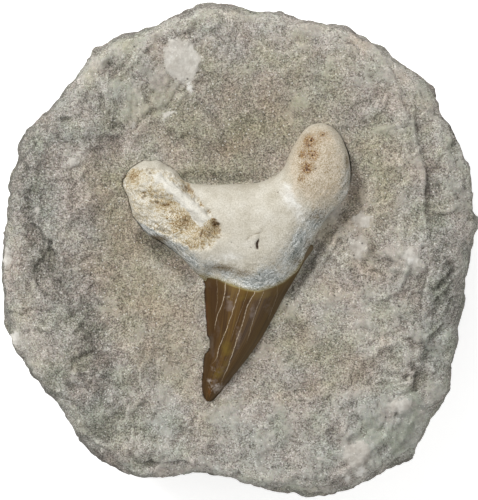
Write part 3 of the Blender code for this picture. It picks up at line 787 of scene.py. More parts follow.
# Painted shade along the valley at the lower left, which a groove also cuts into the top.
VALLEY_SHADE = [([(-38.3, -4.3), (-32.0, -17.0), (-27.8, -32.0), (-27.0, -45.0)], 6.0, 0.55)]
slab_facing = normals_of(slab.data)
mottled = 0.5 * lumpy(slab_at + 33, 7, 3)
shaken = 0.7 * lumpy(slab_at + 60, 2.2, 3)
inside, white = clasts(x + shaken, y - shaken)
paint(slab.data, "clast", inside - np.maximum(0, CLAST_LOWEST - slab_at[:, 2]) / 1.5)
paint(slab.data, "white", white)

# The patches' edges wander, so each is looked up a little to one side.
stray_x = x + 2.2 * lumpy(slab_at + 60, 5, 3)
stray_y = y + 2.2 * lumpy(slab_at + 85, 5, 3)
# Painted shade on the walls: faces that turn away from the top are painted darker and greyer.
painted_wall_shade = eased((0.85 - slab_facing[:, 2]) / 0.5)
outside = eased((np.hypot(stray_x / 30, (stray_y - 2) / 37) - 0.85) / 0.5)
warmth = spots(stray_x, stray_y, WARM) - spots(stray_x, stray_y, COOL)
paint(slab.data, "warm", warmth + mottled - 0.3 * outside - 0.4 * painted_wall_shade)
paleness = spots(stray_x, stray_y, PALE) - spots(stray_x, stray_y, DARK_AND_SHADOWED)
paint(slab.data, "pale", paleness - grooves(stray_x, stray_y, VALLEY_SHADE))
# Painted shade and light: how far each point stands out of its surroundings, so hollows are painted darker
# and crests paler.
stands = standing_out(slab.data, slab_at, 5) + standing_out(slab.data, slab_at, 30)
paint(slab.data, "painted_hollow_shade", np.tanh(stands / 0.5))
paint(slab.data, "painted_wall_shade", painted_wall_shade)

rock = bpy.data.materials.new("sandy limestone, broken")
rock.use_nodes = True
tree = rock.node_tree
shader = tree.nodes["Principled BSDF"]
place = add(tree, "TexCoord").outputs["Object"]
GRAIN_MM = 0.25  # spacing of the finest grains, about one pixel of the render
grains = add(tree, "TexVoronoi", {"Vector": place, "Scale": 1000 / GRAIN_MM})
grain_tone = add(tree, "SeparateColor", {"Color": grains.outputs["Color"]}).outputs["Red"]

# Each part of the tone: what it follows, the middle of that, and its weight.
tone_parts = [
    (grain_tone, 0.5, 0.46),
    # Painted shade in the hollows and painted light on the crests.
    (add(tree, "Attribute", attribute_name="painted_hollow_shade").outputs["Fac"], 0, 0.13),
    (add(tree, "Attribute", attribute_name="pale").outputs["Fac"], 0, 0.14),
    # Painted shade: the walls darker.
    (add(tree, "Attribute", attribute_name="painted_wall_shade").outputs["Fac"], 0, -0.28),
]
for size_mm, detail, weight in ((0.3, 2, 1.2), (2.4, 4, 0.2), (10, 4, 0.3)):
    clouds = add(
        tree, "TexNoise", {"Vector": place, "Scale": 1000 / size_mm, "Detail": detail, "Roughness": 0.65}
    )
    tone_parts.append((clouds.outputs["Fac"], 0.5, weight))

# The scraping left short strokes, mostly along y: their width, length and depth in millimetres.
STROKE_MM = (0.7, 2.8, 1.2)
strokes = add(
    tree, "Mapping", {"Vector": place, "Rotation": (0, 0, 0.25), "Scale": [1000 / mm for mm in STROKE_MM]}
).outputs[0]
scraped = add(
    tree, "TexNoise", {"Vector": strokes, "Scale": 1, "Detail": 4, "Distortion": 0.7}
).outputs["Fac"]
tone_parts.append((scraped, 0.5, 0.34))
tone = 0.525
for socket, middle, weight in tone_parts:
    off = add(tree, "Math", {0: socket, 1: middle}, operation="SUBTRACT").outputs[0]
    tone = add(tree, "Math", {0: off, 1: weight, 2: tone}, operation="MULTIPLY_ADD").outputs[0]
stone = add(
    tree, "ValToRGB", {"Fac": tone},
    stops=((0.0, "#55524b"), (1.0, "#e6e4de"), (0.28, "#807c74"), (0.5, "#a6a29a"), (0.72, "#c3c0b8")),
).outputs["Color"]  # fmt: skip

# A smooth pale crust covers the grains in ragged patches, and so does the flat face of a fresh break.
crust = add(
    tree, "TexNoise",
    {"Vector": place, "Scale": 1000 / 5.5, "Detail": 8, "Roughness": 0.7, "Distortion": 0.8},
).outputs["Fac"]  # fmt: skip
# The crust also shows a little more on crests and less on the walls: a little painted light and shade.
for name, weight in (("pale", 0.12), ("painted_hollow_shade", 0.05), ("painted_wall_shade", -0.03)):
    more = add(tree, "Attribute", attribute_name=name).outputs["Fac"]
    crust = add(tree, "Math", {0: more, 1: weight, 2: crust}, operation="MULTIPLY_ADD").outputs[0]
crust = add(
    tree, "MapRange", {"Value": crust, "From Min": 0.55, "From Max": 0.61, "To Max": 0.75}
).outputs[0]
clouds = add(tree, "TexNoise", {"Vector": place, "Scale": 1000 / 1.1, "Detail": 5}).outputs["Fac"]
film = add(
    tree, "ValToRGB", {"Fac": clouds}, stops=((0.25, "#9a978f"), (0.75, "#d0cdc4"), (0.5, "#b8b6ad"))
).outputs["Color"]
stone = add(tree, "Mix", {0: crust, 6: stone, 7: film}, data_type="RGBA").outputs[2]

warm = add(tree, "Attribute", attribute_name="warm").outputs["Fac"]
clouds = add(tree, "TexNoise", {"Vector": place, "Scale": 1000 / 5, "Detail": 3}).outputs["Fac"]
warm = add(tree, "Math", {0: clouds, 1: 1.6, 2: warm}, operation="MULTIPLY_ADD").outputs[0]
warm = add(tree, "MapRange", {"Value": warm, "From Min": -0.4, "From Max": 2.0}).outputs[0]
tint = add(
    tree, "ValToRGB", {"Fac": warm},
    stops=((0.0, "#f1f6f5"), (1.0, "#f5ecd8"), (0.35, "#fbfaf7"), (0.62, "#fbf7ec")),
).outputs["Color"]  # fmt: skip
stone = add(tree, "Mix", {0: 1.0, 6: stone, 7: tint}, data_type="RGBA", blend_type="MULTIPLY").outputs[2]
hue = add(tree, "TexNoise", {"Vector": place, "Scale": 1000 / 7, "Detail": 4}).outputs["Fac"]
hue = add(
    tree, "ValToRGB", {"Fac": hue}, stops=((0.35, "#f9fbf4"), (0.65, "#fff8f8"), (0.5, "#fffdfd"))
).outputs["Color"]
stone = add(tree, "Mix", {0: 1.0, 6: stone, 7: hue}, data_type="RGBA", blend_type="MULTIPLY").outputs[2]
rosy = add(tree, "TexNoise", {"Vector": place, "Scale": 1000 / 0.5, "Detail": 1}).outputs["Color"]
stone = add(tree, "Mix", {0: 0.12, 6: stone, 7: rosy}, data_type="RGBA", blend_type="SOFT_LIGHT").outputs[2]

ragged = add(tree, "TexNoise", {"Vector": place, "Scale": 1000 / 0.9, "Detail": 3}).outputs["Fac"]
clast = add(tree, "Attribute", attribute_name="clast").outputs["Fac"]
clast = add(tree, "Math", {0: ragged, 1: 2.2, 2: clast}, operation="MULTIPLY_ADD").outputs[0]
clast = add(tree, "MapRange", {"Value": clast, "From Min": 0.9, "From Max": 1.35}).outputs[0]
whiteness = add(tree, "Attribute", attribute_name="white").outputs["Fac"]
clouds = add(
    tree, "TexNoise", {"Vector": place, "Scale": 1000 / 1.6, "Detail": 6, "Roughness": 0.65}
).outputs["Fac"]
clouds = add(tree, "Math", {0: whiteness, 1: 0.35, 2: clouds}, operation="MULTIPLY_ADD").outputs[0]
shell = add(
    tree, "ValToRGB", {"Fac": clouds},
    stops=((0.34, "#9c958a"), (0.95, "#edebe6"), (0.5, "#b8b1a7"), (0.8, "#dcd8cf")),
).outputs["Color"]  # fmt: skip
clast = add(tree, "Math", {0: clast, 1: 0.9}, operation="MULTIPLY").outputs[0]
stone = add(tree, "Mix", {0: clast, 6: stone, 7: shell}, data_type="RGBA").outputs[2]

# Loose grains: the size of their cells, their radius as a share of it, their colour and its strength.
for cell_mm, radius, code, share in ((0.9, 0.2, "#eeece6", 0.7), (2.3, 0.12, "#3d3831", 0.7)):
    cells = add(tree, "TexVoronoi", {"Vector": place, "Scale": 1000 / cell_mm})
    chance = add(tree, "SeparateColor", {"Color": cells.outputs["Color"]}).outputs["Green"]
    near = add(
        tree, "MapRange", {"Value": cells.outputs["Distance"], "From Min": radius, "From Max": radius * 0.6}
    )
    kept = add(tree, "Math", {0: chance, 1: 0.5}, operation="GREATER_THAN").outputs[0]
    fleck = add(tree, "Math", {0: near.outputs[0], 1: kept}, operation="MULTIPLY").outputs[0]
    fleck = add(tree, "Math", {0: fleck, 1: share}, operation="MULTIPLY").outputs[0]
    stone = add(tree, "Mix", {0: fleck, 6: stone, 7: linear(code)}, data_type="RGBA").outputs[2]
tree.links.new(stone, shader.inputs["Base Color"])
shader.inputs["Roughness"].default_value = 0.92
shader.inputs["Specular IOR Level"].default_value = 0.3
pitted = add(
    tree, "TexNoise", {"Vector": place, "Scale": 1000 / 0.5, "Detail": 3, "Roughness": 0.7}
).outputs["Fac"]
gritty = add(tree, "Math", {0: pitted, 1: 2.0, 2: grain_tone}, operation="MULTIPLY_ADD").outputs[0]
gritty = add(tree, "Math", {0: scraped, 1: 2.5, 2: gritty}, operation="MULTIPLY_ADD").outputs[0]
bump = add(tree, "Bump", {"Height": gritty, "Distance": 0.00007, "Strength": 1.0})
tree.links.new(bump.outputs["Normal"], shader.inputs["Normal"])
slab.data.materials.clear()
slab.data.materials.append(rock)
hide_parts("matrix_slab")
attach(slab, "root")


# Material of the root: fossil bone. Its smooth skin is cream and faintly porous; bare spongy bone is white
# with ochre and brown in its pits; the neck is grey and fibrous, and iron has stained the right lobe.
tooth.data.shade_smooth()
tooth_at = points_of(tooth.data)
x, y = tooth_at[:, 0], tooth_at[:, 1]
spongy, pits, plate = worn(tooth_at)
across, length, _ = on_crown(x, y)
pores = off_line(x, y, SLOT)[0] + 0.1 - 0.34 * eased((2.9 - y) / 1.4)
for pore_x, pore_y, radius in PORES:
    pores = np.minimum(pores, np.hypot(x - pore_x, y - pore_y) - 0.45 * radius)

# A paler band crosses the foot of the right lobe along this line.
PALE_BAND = [(10.0, 13.4), (10.8, 10.8), (12.8, 8.0), (14.4, 5.4)]

# Stains, each a row of x, y, half-width, half-height and strength. A negative strength keeps a stain away.
# Some rows are painted light and shade, as marked below.
# The enamel is dull at the crown's right shoulder.
STAINS = {
    "tan": [(16.5, 21, 6, 7, 1.0), (18, 13.5, 6, 6, 0.8), (13.5, 17, 3, 5, 0.6)],
    "rust": [
        (14.8, 23.0, 1.0, 1.2, 1.1), (15.8, 20.0, 1.0, 1.0, 1.1), (13.4, 20.2, 0.7, 0.9, 0.8),
        (14.2, 17.2, 1.1, 1.1, 1.1), (13.0, 15.0, 1.0, 0.9, 0.6), (14.4, 19.4, 3.0, 6.0, 0.58),
        (17.7, 24.4, 0.8, 0.7, 0.4), (18.6, 24.4, 4.0, 2.4, 0.55),
    ],
    "chalk": [
        (10.4, 11.4, 1.6, 2.6, 0.6), (12.6, 8.0, 1.8, 3.2, 0.4), (-1.5, -1.3, 4, 1.4, 0.7),
        (-14.0, 13.0, 3, 2, 0.4), (-6.0, -2.6, 4, 1.6, 0.5), (1.0, 9.0, 7, 4, 0.2),
        (19.5, 12.6, 2.0, 1.6, 0.35),
    ],
    "ochre": [
        (-15.4, 9.6, 2.6, 1.3, 0.9), (-22.4, 15.6, 1.6, 1.6, 1.0), (-7.4, 3.8, 3.2, 2.0, 0.9),
        (-11.4, 6.8, 2.6, 1.6, 1.0), (-18.4, 12.0, 2.4, 1.0, 0.5), (-10.4, 12.8, 1.0, 1.4, 0.9),
        (-7.8, 9.6, 1.0, 1.4, 1.0), (-5.0, 6.2, 1.0, 1.8, 1.2), (-13.2, 4.8, 2.0, 1.4, 0.6),
        (-10.4, 0.8, 3.4, 1.4, 0.5),
    ],
    # Mostly the neck's grey bone. The long row on the right lobe's right flank and the row under that lobe
    # are partly painted shade.
    "grey": [
        (-1.5, -1.3, 4, 1.3, -0.6), (4.6, -2.8, 2.6, 1.8, 0.4), (10.5, -0.4, 4.0, 4.2, 0.5),
        (16.0, 7.4, 2.6, 2.2, 0.6), (-18.5, 4.2, 4.0, 1.6, 1.0), (3.0, -6.4, 8, 1.8, 0.5),
        (22.6, 14, 1.6, 7, 0.9), (-24.4, 11.0, 1.0, 2.6, 0.7), (-10, -2.6, 3, 1.8, 0.4),
        (-14.4, 6.8, 1.6, 1.4, 1.1), (-13.5, 0.6, 3.0, 1.2, 0.55), (13.4, 4.0, 2.4, 3.0, 0.5),
    ],
    # These are brown stains at the neck, and painted shade at the left lobe's lower edge, under the right
    # lobe and along its right edge.
    "smudge_and_shade": [
        (-3.4, -3.7, 3.2, 1.0, 1.1), (1.2, -4.9, 2.4, 0.9, 1.0), (-7.6, 1.2, 2.6, 0.5, 0.5),
        (22.8, 18.8, 0.7, 2.0, 0.95), (8.5, 1.4, 1.6, 1.0, 0.4), (-17.8, 2.4, 3.6, 1.0, 1.3),
        (16.2, 7.2, 2.4, 1.9, 0.95), (4.6, -6.9, 3.4, 0.4, 0.5), (12.6, -2.6, 2.4, 1.2, 0.9),
        (14.6, 1.0, 1.0, 3.0, 0.8), (23.4, 13.0, 0.7, 5.0, 0.6), (19.6, 9.6, 2.6, 2.0, 0.4),
        (18.2, 17.0, 1.6, 0.8, 0.25),
    ],
    # Painted sheen: mauve-grey patches that stand for soft reflections on the glossy enamel.
    "mauve_sheen": [
        (-6.5, -6.8, 0.9, 1.6, 0.8), (-6.0, -19.2, 0.8, 1.4, 0.9), (-2.0, -11.9, 1.1, 1.5, 0.9),
        (2.7, -13.2, 0.6, 2.0, 0.8), (0.0, -18.4, 0.7, 3.0, 0.7), (-4.6, -16.6, 0.7, 2.4, 0.5),
        (6.4, -12.6, 1.2, 2.4, 0.5), (-5.6, -22.0, 0.9, 1.6, 0.6), (-5.2, -28.0, 1.2, 2.2, 0.45),
        (-3.6, -24.2, 1.6, 2.4, 0.4),
    ],
    "olive": [
        (-2.7, -20.7, 1.3, 3.4, 0.8), (-1.0, -10.0, 5.0, 0.9, 0.5), (5.6, -9.4, 3.0, 1.0, 0.6),
        (-4.6, -26.0, 1.6, 1.4, 0.5), (-4.6, -27.0, 1.4, 1.6, 0.3),
    ],
    "dull": [(14.6, -1.0, 2.6, 3.4, 0.9)],
    "orange": [(-6.9, -14.3, 0.5, 4.4, 0.9), (7.6, -8.4, 2.0, 1.0, 0.4), (-6.3, -30.5, 0.5, 1.2, 0.6)],
    # Pale specks and wear on the enamel. The small round row near the tip's left edge is a painted
    # highlight.
    "worn": [
        (-4.6, -29.4, 1.7, 1.3, 0.75), (-6.5, -27.8, 0.6, 0.6, 0.9), (-5.6, -25.3, 1.0, 0.6, 0.5),
        (-2.4, -10.0, 1.3, 0.3, 0.7),
    ],
}  # fmt: skip
shares = {"bare": spongy, "pit": pits, "plate": plate, "pore": pores}
shares.update({"neck": above_neck(x, y), "neck_run": x + 0.5 * y})
shares.update({name: spots(x, y, rows) for name, rows in STAINS.items()})
shares["grey"] += (0.6 + 0.5 * lumpy(tooth_at + 12, 3.4, 3)) * eased((6.5 - shares["neck"]) / 4.5)
shares["chalk"] += grooves(x, y, [(PALE_BAND, 1.4, 0.45)])
# Painted shade along the groove round the flap.
shares["smudge_and_shade"] += grooves(x, y, [(FLAP, 0.25, 0.75)])
shares.update({"across": np.clip(across, -1.2, 1.2), "length": length})
for name, values in shares.items():
    paint(tooth.data, name, values)

bone = bpy.data.materials.new("fossil bone")
bone.use_nodes = True
tree = bone.node_tree
shader = tree.nodes["Principled BSDF"]
place = add(tree, "TexCoord").outputs["Object"]
neck = add(tree, "Attribute", attribute_name="neck").outputs["Fac"]
neck_run = add(tree, "Attribute", attribute_name="neck_run").outputs["Fac"]
wandering = add(tree, "TexNoise", {"Vector": place, "Scale": 1000 / 2.2, "Detail": 3}).outputs["Fac"]
wandering = add(tree, "Math", {0: wandering, 1: 2.4, 2: neck}, operation="MULTIPLY_ADD").outputs[0]
beside_neck = add(tree, "CombineXYZ", {"X": wandering, "Y": neck_run}).outputs[0]
beside_neck = add(tree, "Mapping", {"Vector": beside_neck, "Scale": (3.0, 0.22, 1)}).outputs[0]
fibres = add(
    tree, "TexNoise", {"Vector": beside_neck, "Scale": 1, "Detail": 3, "Roughness": 0.7}
).outputs["Fac"]
clouds = add(tree, "TexNoise", {"Vector": place, "Scale": 1000 / 3, "Detail": 4}).outputs["Fac"]
colour = add(
    tree, "ValToRGB", {"Fac": clouds}, stops=((0.3, "#beb7a6"), (0.7, "#d4cfc2"), (0.5, "#cbc5b6"))
).outputs["Color"]

# Each layer: its attribute, the size of its clouds, the amounts where it starts and is full, its colours.
# The grey of the neck runs in fibres along it.
LAYERS = (
    ("chalk", 1.0, 0.3, 1.0, ((0.3, "#d0ccc2"), (0.7, "#e8e6de"))),
    ("grey", 0.7, 0.4, 1.05, ((0.38, "#7d837f"), (0.62, "#ecedea"), (0.5, "#b5b8b4"))),
    ("tan", 1.4, 0.3, 0.9, ((0.3, "#b3a38b"), (0.7, "#cdc0ac"), (0.5, "#c0b39d"))),
    ("smudge_and_shade", 0.9, 0.35, 1.2, ((0.3, "#63553f"), (0.7, "#958972"))),
    ("rust", 0.45, 0.35, 1.05, ((0.38, "#765634"), (0.66, "#b39c78"), (0.52, "#967b56"))),
)
for name, size_mm, low, high, stops in LAYERS:
    clouds = add(tree, "TexNoise", {"Vector": place, "Scale": 1000 / size_mm, "Detail": 4}).outputs["Fac"]
    amount = add(tree, "Attribute", attribute_name=name).outputs["Fac"]
    amount = add(tree, "Math", {0: clouds, 1: 1.0, 2: amount}, operation="MULTIPLY_ADD").outputs[0]
    amount = add(
        tree, "MapRange", {"Value": amount, "From Min": low + 0.5, "From Max": high + 0.5}
    ).outputs[0]
    if name == "grey":
        clouds = add(tree, "Mix", {0: 0.75, 2: clouds, 3: fibres}).outputs[0]
    shades = add(tree, "ValToRGB", {"Fac": clouds}, stops=stops).outputs["Color"]
    colour = add(tree, "Mix", {0: amount, 6: colour, 7: shades}, data_type="RGBA").outputs[2]
near_neck = add(tree, "Math", {0: fibres, 1: 1.2, 2: neck}, operation="MULTIPLY_ADD").outputs[0]
near_neck = add(
    tree, "MapRange", {"Value": near_neck, "From Min": 1.5, "From Max": 0.6, "To Max": 0.8}
).outputs[0]
colour = add(tree, "Mix", {0: near_neck, 6: colour, 7: linear("#9c9068")}, data_type="RGBA").outputs[2]

bare = add(tree, "Attribute", attribute_name="bare").outputs["Fac"]
ochre = add(tree, "Attribute", attribute_name="ochre").outputs["Fac"]
plate = add(tree, "Attribute", attribute_name="plate").outputs["Fac"]
clouds = add(
    tree, "TexNoise", {"Vector": place, "Scale": 1000 / 1.1, "Detail": 6, "Roughness": 0.8}
).outputs["Fac"]
sponge = add(tree, "Math", {0: ochre, 1: -0.24, 2: clouds}, operation="MULTIPLY_ADD").outputs[0]
sponge = add(tree, "Math", {0: plate, 1: 0.25, 2: sponge}, operation="MULTIPLY_ADD").outputs[0]
specks = add(
    tree, "TexNoise", {"Vector": place, "Scale": 1000 / 0.28, "Detail": 2, "Roughness": 0.7}
).outputs["Fac"]
specks = add(tree, "Math", {0: specks, 1: 0.5}, operation="SUBTRACT").outputs[0]
sponge = add(tree, "Math", {0: specks, 1: 0.7, 2: sponge}, operation="MULTIPLY_ADD").outputs[0]
sponge = add(
    tree, "ValToRGB", {"Fac": sponge},
    stops=((0.12, "#7a6246"), (0.62, "#dcd8cc"), (0.24, "#a38c68"), (0.34, "#bcab89"), (0.44, "#cbc1ab")),
).outputs["Color"]  # fmt: skip
colour = add(tree, "Mix", {0: bare, 6: colour, 7: sponge}, data_type="RGBA").outputs[2]
pit = add(tree, "Attribute", attribute_name="pit").outputs["Fac"]
pit = add(tree, "Math", {0: pit, 1: 0.8}, operation="MULTIPLY").outputs[0]
colour = add(tree, "Mix", {0: pit, 6: colour, 7: linear("#796246")}, data_type="RGBA").outputs[2]
chalky = add(tree, "Math", {0: clouds, 1: 0.6, 2: plate}, operation="MULTIPLY_ADD").outputs[0]
chalky = add(
    tree, "MapRange", {"Value": chalky, "From Min": 0.75, "From Max": 1.2, "To Max": 0.62}
).outputs[0]
colour = add(tree, "Mix", {0: chalky, 6: colour, 7: linear("#dfdbd0")}, data_type="RGBA").outputs[2]
pore = add(tree, "Attribute", attribute_name="pore").outputs["Fac"]
pore = add(tree, "MapRange", {"Value": pore, "From Min": 0.12, "From Max": -0.05}).outputs[0]
colour = add(tree, "Mix", {0: pore, 6: colour, 7: linear("#4a3a29")}, data_type="RGBA").outputs[2]
specks = add(tree, "MapRange", {"Value": specks, "From Min": -0.25, "From Max": 0.25})
grey = add(tree, "Attribute", attribute_name="grey").outputs["Fac"]
tan = add(tree, "Attribute", attribute_name="tan").outputs["Fac"]
speckled = add(tree, "Math", {0: tan, 1: 0.45, 2: grey}, operation="MULTIPLY_ADD").outputs[0]
speckled = add(tree, "MapRange", {"Value": speckled, "To Min": 0.14, "To Max": 0.38}).outputs[0]
specks = add(
    tree, "CombineColor", {name: specks.outputs[0] for name in ("Red", "Green", "Blue")}
).outputs[0]
colour = add(
    tree, "Mix", {0: speckled, 6: colour, 7: specks}, data_type="RGBA", blend_type="LINEAR_LIGHT"
).outputs[2]
tree.links.new(colour, shader.inputs["Base Color"])
shader.inputs["Roughness"].default_value = 0.62
shader.inputs["Specular IOR Level"].default_value = 0.35
grainy = add(
    tree, "TexNoise", {"Vector": place, "Scale": 1000 / 0.45, "Detail": 4, "Roughness": 0.7}
).outputs["Fac"]
bump = add(tree, "Bump", {"Height": grainy, "Distance": 0.00012, "Strength": 1.0})
tree.links.new(bump.outputs["Normal"], shader.inputs["Normal"])


# Material of the crown: enamel over dentine, golden brown and glassy, with pale hairline cracks lengthwise.
# Each crack is a line of points from the neck down, and how strongly it shows.
CRACKS = [
    ([(-2.9, -7.0), (-3.4, -10.9), (-4.7, -14.3), (-5.2, -17.3)], 0.9),
    ([(0.1, -8.5), (-1.55, -13.6), (-3.2, -18.3), (-4.2, -20.5), (-5.0, -23.4), (-6.5, -24.7)], 0.9),
    ([(3.3, -9.2), (1.75, -12.0), (0.9, -15.2), (-0.3, -18.5), (-1.35, -21.8),
      (-2.35, -24.8), (-4.1, -28.8)], 1.0),
    ([(5.2, -9.1), (3.8, -12.3), (2.55, -16.4), (1.55, -20.1)], 0.6),
    ([(8.1, -9.9), (6.1, -15.0)], 0.35),
    ([(1.75, -9.3), (-0.3, -14.8), (-1.9, -19.7)], 0.3),
    ([(-4.7, -7.5), (-4.6, -10.3), (-5.0, -13.6)], 0.3),
]  # fmt: skip
CRACK_HALF = 0.065
CRACK_WANDER = 0.4  # how far a crack strays sideways
CRACK_REACH = 10  # a crack's curve holds x from minus this to this

enamel = bpy.data.materials.new("shark tooth enamel")
enamel.use_nodes = True
tree = enamel.node_tree
shader = tree.nodes["Principled BSDF"]
place = add(tree, "TexCoord").outputs["Object"]
over = add(tree, "Attribute", attribute_name="across").outputs["Fac"]
down = add(tree, "Attribute", attribute_name="length").outputs["Fac"]
lengthwise = add(tree, "CombineXYZ", {"X": over, "Y": down}).outputs[0]
streaks = add(tree, "Mapping", {"Vector": lengthwise, "Scale": (7, 1.6, 1)}).outputs[0]
streaks = add(
    tree, "TexNoise", {"Vector": streaks, "Scale": 1.0, "Detail": 5, "Roughness": 0.6}
).outputs["Fac"]
finer = add(tree, "Mapping", {"Vector": lengthwise, "Scale": (26, 2.5, 1)}).outputs[0]
finer = add(tree, "TexNoise", {"Vector": finer, "Scale": 1.0, "Detail": 3}).outputs["Fac"]
streaks = add(tree, "Mix", {0: 0.35, 2: streaks, 3: finer}).outputs[0]
colour = add(
    tree, "ValToRGB", {"Fac": streaks},
    stops=((0.34, "#2e1b07"), (0.66, "#6f5726"), (0.44, "#442d0e"), (0.54, "#5a4018")),
).outputs["Color"]  # fmt: skip
for name, size_mm, code in (
    ("olive", 1.5, "#6d591b"),
    ("orange", 1.2, "#7a4a18"),
    # Painted sheen.
    ("mauve_sheen", 0.9, "#76665a"),
    # Pale wear, and a painted highlight near the tip.
    ("worn", 0.5, "#b7aca2"),
):
    clouds = add(tree, "TexNoise", {"Vector": place, "Scale": 1000 / size_mm, "Detail": 3}).outputs["Fac"]
    amount = add(tree, "Attribute", attribute_name=name).outputs["Fac"]
    amount = add(tree, "Math", {0: clouds, 1: 1.4, 2: amount}, operation="MULTIPLY_ADD").outputs[0]
    amount = add(
        tree, "MapRange", {"Value": amount, "From Min": 1.0, "From Max": 1.6, "To Max": 0.85}
    ).outputs[0]
    colour = add(tree, "Mix", {0: amount, 6: colour, 7: linear(code)}, data_type="RGBA").outputs[2]
neck = add(tree, "Attribute", attribute_name="neck").outputs["Fac"]
band = add(tree, "Math", {0: streaks, 1: 2.4, 2: neck}, operation="MULTIPLY_ADD").outputs[0]
band = add(tree, "MapRange", {"Value": band, "From Min": -0.9, "From Max": 1.1, "To Max": 0.85}).outputs[0]
colour = add(tree, "Mix", {0: band, 6: colour, 7: linear("#6b5119")}, data_type="RGBA").outputs[2]
lip = add(tree, "MapRange", {"Value": neck, "From Min": -0.3, "From Max": 0.0, "To Max": 0.8}).outputs[0]
dull = add(tree, "Attribute", attribute_name="dull").outputs["Fac"]
lip = add(tree, "Math", {0: lip, 1: dull}, operation="SUBTRACT", use_clamp=True).outputs[0]
colour = add(tree, "Mix", {0: lip, 6: colour, 7: linear("#a89a68")}, data_type="RGBA").outputs[2]
left_edge = add(
    tree, "MapRange", {"Value": over, "From Min": -0.35, "From Max": -0.7, "To Max": 0.7}
).outputs[0]
colour = add(tree, "Mix", {0: left_edge, 6: colour, 7: linear("#3c2509")}, data_type="RGBA").outputs[2]
# Darker grey-brown towards the right edge: partly the enamel's tone, partly painted shade on the flank
# turned from the light.
right_edge_shade = add(
    tree, "MapRange", {"Value": over, "From Min": 0.35, "From Max": 0.95, "To Max": 0.6}
).outputs[0]
colour = add(tree, "Mix", {0: right_edge_shade, 6: colour, 7: linear("#4d3d22")}, data_type="RGBA").outputs[2]
colour = add(tree, "Mix", {0: dull, 6: colour, 7: linear("#6a5d48")}, data_type="RGBA").outputs[2]

# Each crack is a curve of x against y, shifted by noise whose mean is half of CRACK_WANDER. Finer noise
# breaks it into beads.
stray = add(tree, "TexNoise", {"Vector": place, "Scale": 1000 / 1.2, "Detail": 3}).outputs["Fac"]
spot = add(tree, "SeparateXYZ", {"Vector": place})
spot_x = add(
    tree, "Math", {0: stray, 1: CRACK_WANDER / 1000, 2: spot.outputs["X"]}, operation="MULTIPLY_ADD"
).outputs[0]
least_x = (CRACK_WANDER / 2 - CRACK_REACH) / 1000
most_x = (CRACK_WANDER / 2 + CRACK_REACH) / 1000
beads = add(
    tree, "TexNoise", {"Vector": place, "Scale": 1000 / 0.5, "Detail": 3, "Roughness": 0.7}
).outputs["Fac"]
beads = add(
    tree, "MapRange", {"Value": beads, "From Min": 0.38, "From Max": 0.6, "To Min": 0.25}
).outputs[0]
for line, strength in CRACKS:
    top_y, end_y = line[0][1], line[-1][1]
    share = add(
        tree, "MapRange", {"Value": spot.outputs["Y"], "From Min": top_y / 1000, "From Max": end_y / 1000}
    )
    path = add(tree, "FloatCurve", {"Value": share.outputs[0]})
    curve = path.mapping.curves[0]
    for i, (at_x, at_y) in enumerate(line):
        where = ((at_y - top_y) / (end_y - top_y), (at_x + CRACK_REACH) / (2 * CRACK_REACH))
        if i in (0, len(line) - 1):
            curve.points[0 if i == 0 else len(curve.points) - 1].location = where
        else:
            curve.points.new(*where)
    path.mapping.update()
    centre = add(
        tree, "MapRange", {"Value": path.outputs[0], "To Min": least_x, "To Max": most_x}
    ).outputs[0]
    off = add(tree, "Math", {0: spot_x, 1: centre}, operation="SUBTRACT").outputs[0]
    off = add(tree, "Math", {0: off}, operation="ABSOLUTE").outputs[0]
    wide = CRACK_HALF / 1000 * (0.6 + 0.6 * strength)
    shown = add(tree, "MapRange", {"Value": off, "From Min": wide * 1.5, "From Max": wide * 0.5}).outputs[0]
    ends = add(tree, "MapRange", {"Value": share.outputs[0], "From Min": 0.999, "From Max": 0.8}).outputs[0]
    shown = add(tree, "Math", {0: shown, 1: ends}, operation="MULTIPLY").outputs[0]
    shown = add(tree, "Math", {0: shown, 1: strength}, operation="MULTIPLY").outputs[0]
    shown = add(tree, "Math", {0: shown, 1: beads}, operation="MULTIPLY").outputs[0]
    colour = add(tree, "Mix", {0: shown, 6: colour, 7: linear("#c4b49c")}, data_type="RGBA").outputs[2]
tree.links.new(colour, shader.inputs["Base Color"])
shader.inputs["Roughness"].default_value = 0.33
shader.inputs["Specular IOR Level"].default_value = 0.3
shader.inputs["Coat Weight"].default_value = 0.18
shader.inputs["Coat Roughness"].default_value = 0.15
tooth.data.materials[0] = bone
tooth.data.materials[1] = enamel
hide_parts("tooth")
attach(tooth, "root")


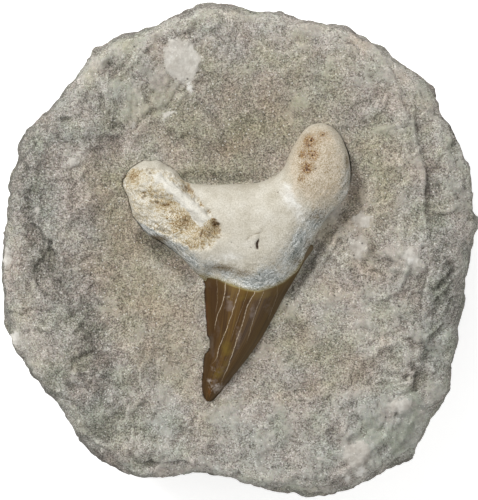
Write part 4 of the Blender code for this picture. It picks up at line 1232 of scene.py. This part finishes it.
# Floor, light and camera: a white card just under the slab, a large soft light from the upper left with a
# weaker one at the right, and the camera straight above. The card glows a little, to be as white as the
# photograph's background, and is clear from below, so that the underside can be seen.
CARD_DROP = 0.0001
CARD_GLOW = 0.55
ROOM_LIGHT = 0.41

bm = bmesh.new()
bmesh.ops.create_grid(bm, x_segments=1, y_segments=1, size=3)
bmesh.ops.translate(bm, verts=bm.verts, vec=(0, 0, -CARD_DROP))
floor = add_mesh("floor", bm)
paper = bpy.data.materials.new("white card")
paper.use_nodes = True
tree = paper.node_tree
shader = tree.nodes["Principled BSDF"]
shader.inputs["Base Color"].default_value = linear("#fafafa")
shader.inputs["Roughness"].default_value = 0.9
shader.inputs["Emission Color"].default_value = (1, 1, 1, 1)
shader.inputs["Emission Strength"].default_value = CARD_GLOW
below = add(tree, "NewGeometry").outputs["Backfacing"]
clear = add(tree, "BsdfTransparent").outputs[0]
seen = add(tree, "MixShader", {0: below, 1: shader.outputs[0], 2: clear}).outputs[0]
tree.links.new(seen, tree.nodes["Material Output"].inputs["Surface"])
floor.data.materials.append(paper)

for name, at, size, power in (
    ("key", (-0.45, 0.52, 0.68), 0.5, 7.4),
    ("fill", (0.6, -0.3, 0.8), 0.9, 1.7),
):
    lamp = bpy.data.lights.new(name, "AREA")
    lamp.size, lamp.energy = size, power
    lamp_object = bpy.data.objects.new(name, lamp)
    lamp_object.location = at
    lamp_object.rotation_euler = (-Vector(at)).to_track_quat("-Z", "Y").to_euler()
    bpy.context.scene.collection.objects.link(lamp_object)
world = bpy.data.worlds.new("room")
world.use_nodes = True
world.node_tree.nodes["Background"].inputs["Color"].default_value = (1, 1, 1, 1)
world.node_tree.nodes["Background"].inputs["Strength"].default_value = ROOM_LIGHT
bpy.context.scene.world = world
bpy.context.scene.view_settings.view_transform = "Standard"

VIEW_HEIGHT = 0.462
VIEW_SPAN = 0.110 / 0.450  # what the photograph's long side spans, per metre of distance
lens = bpy.data.cameras.new("camera")
lens.sensor_width = 36
lens.lens = lens.sensor_width / VIEW_SPAN
camera = bpy.data.objects.new("camera", lens)
camera.location = (0, 0, VIEW_HEIGHT)
bpy.context.scene.collection.objects.link(camera)
bpy.context.scene.camera = camera
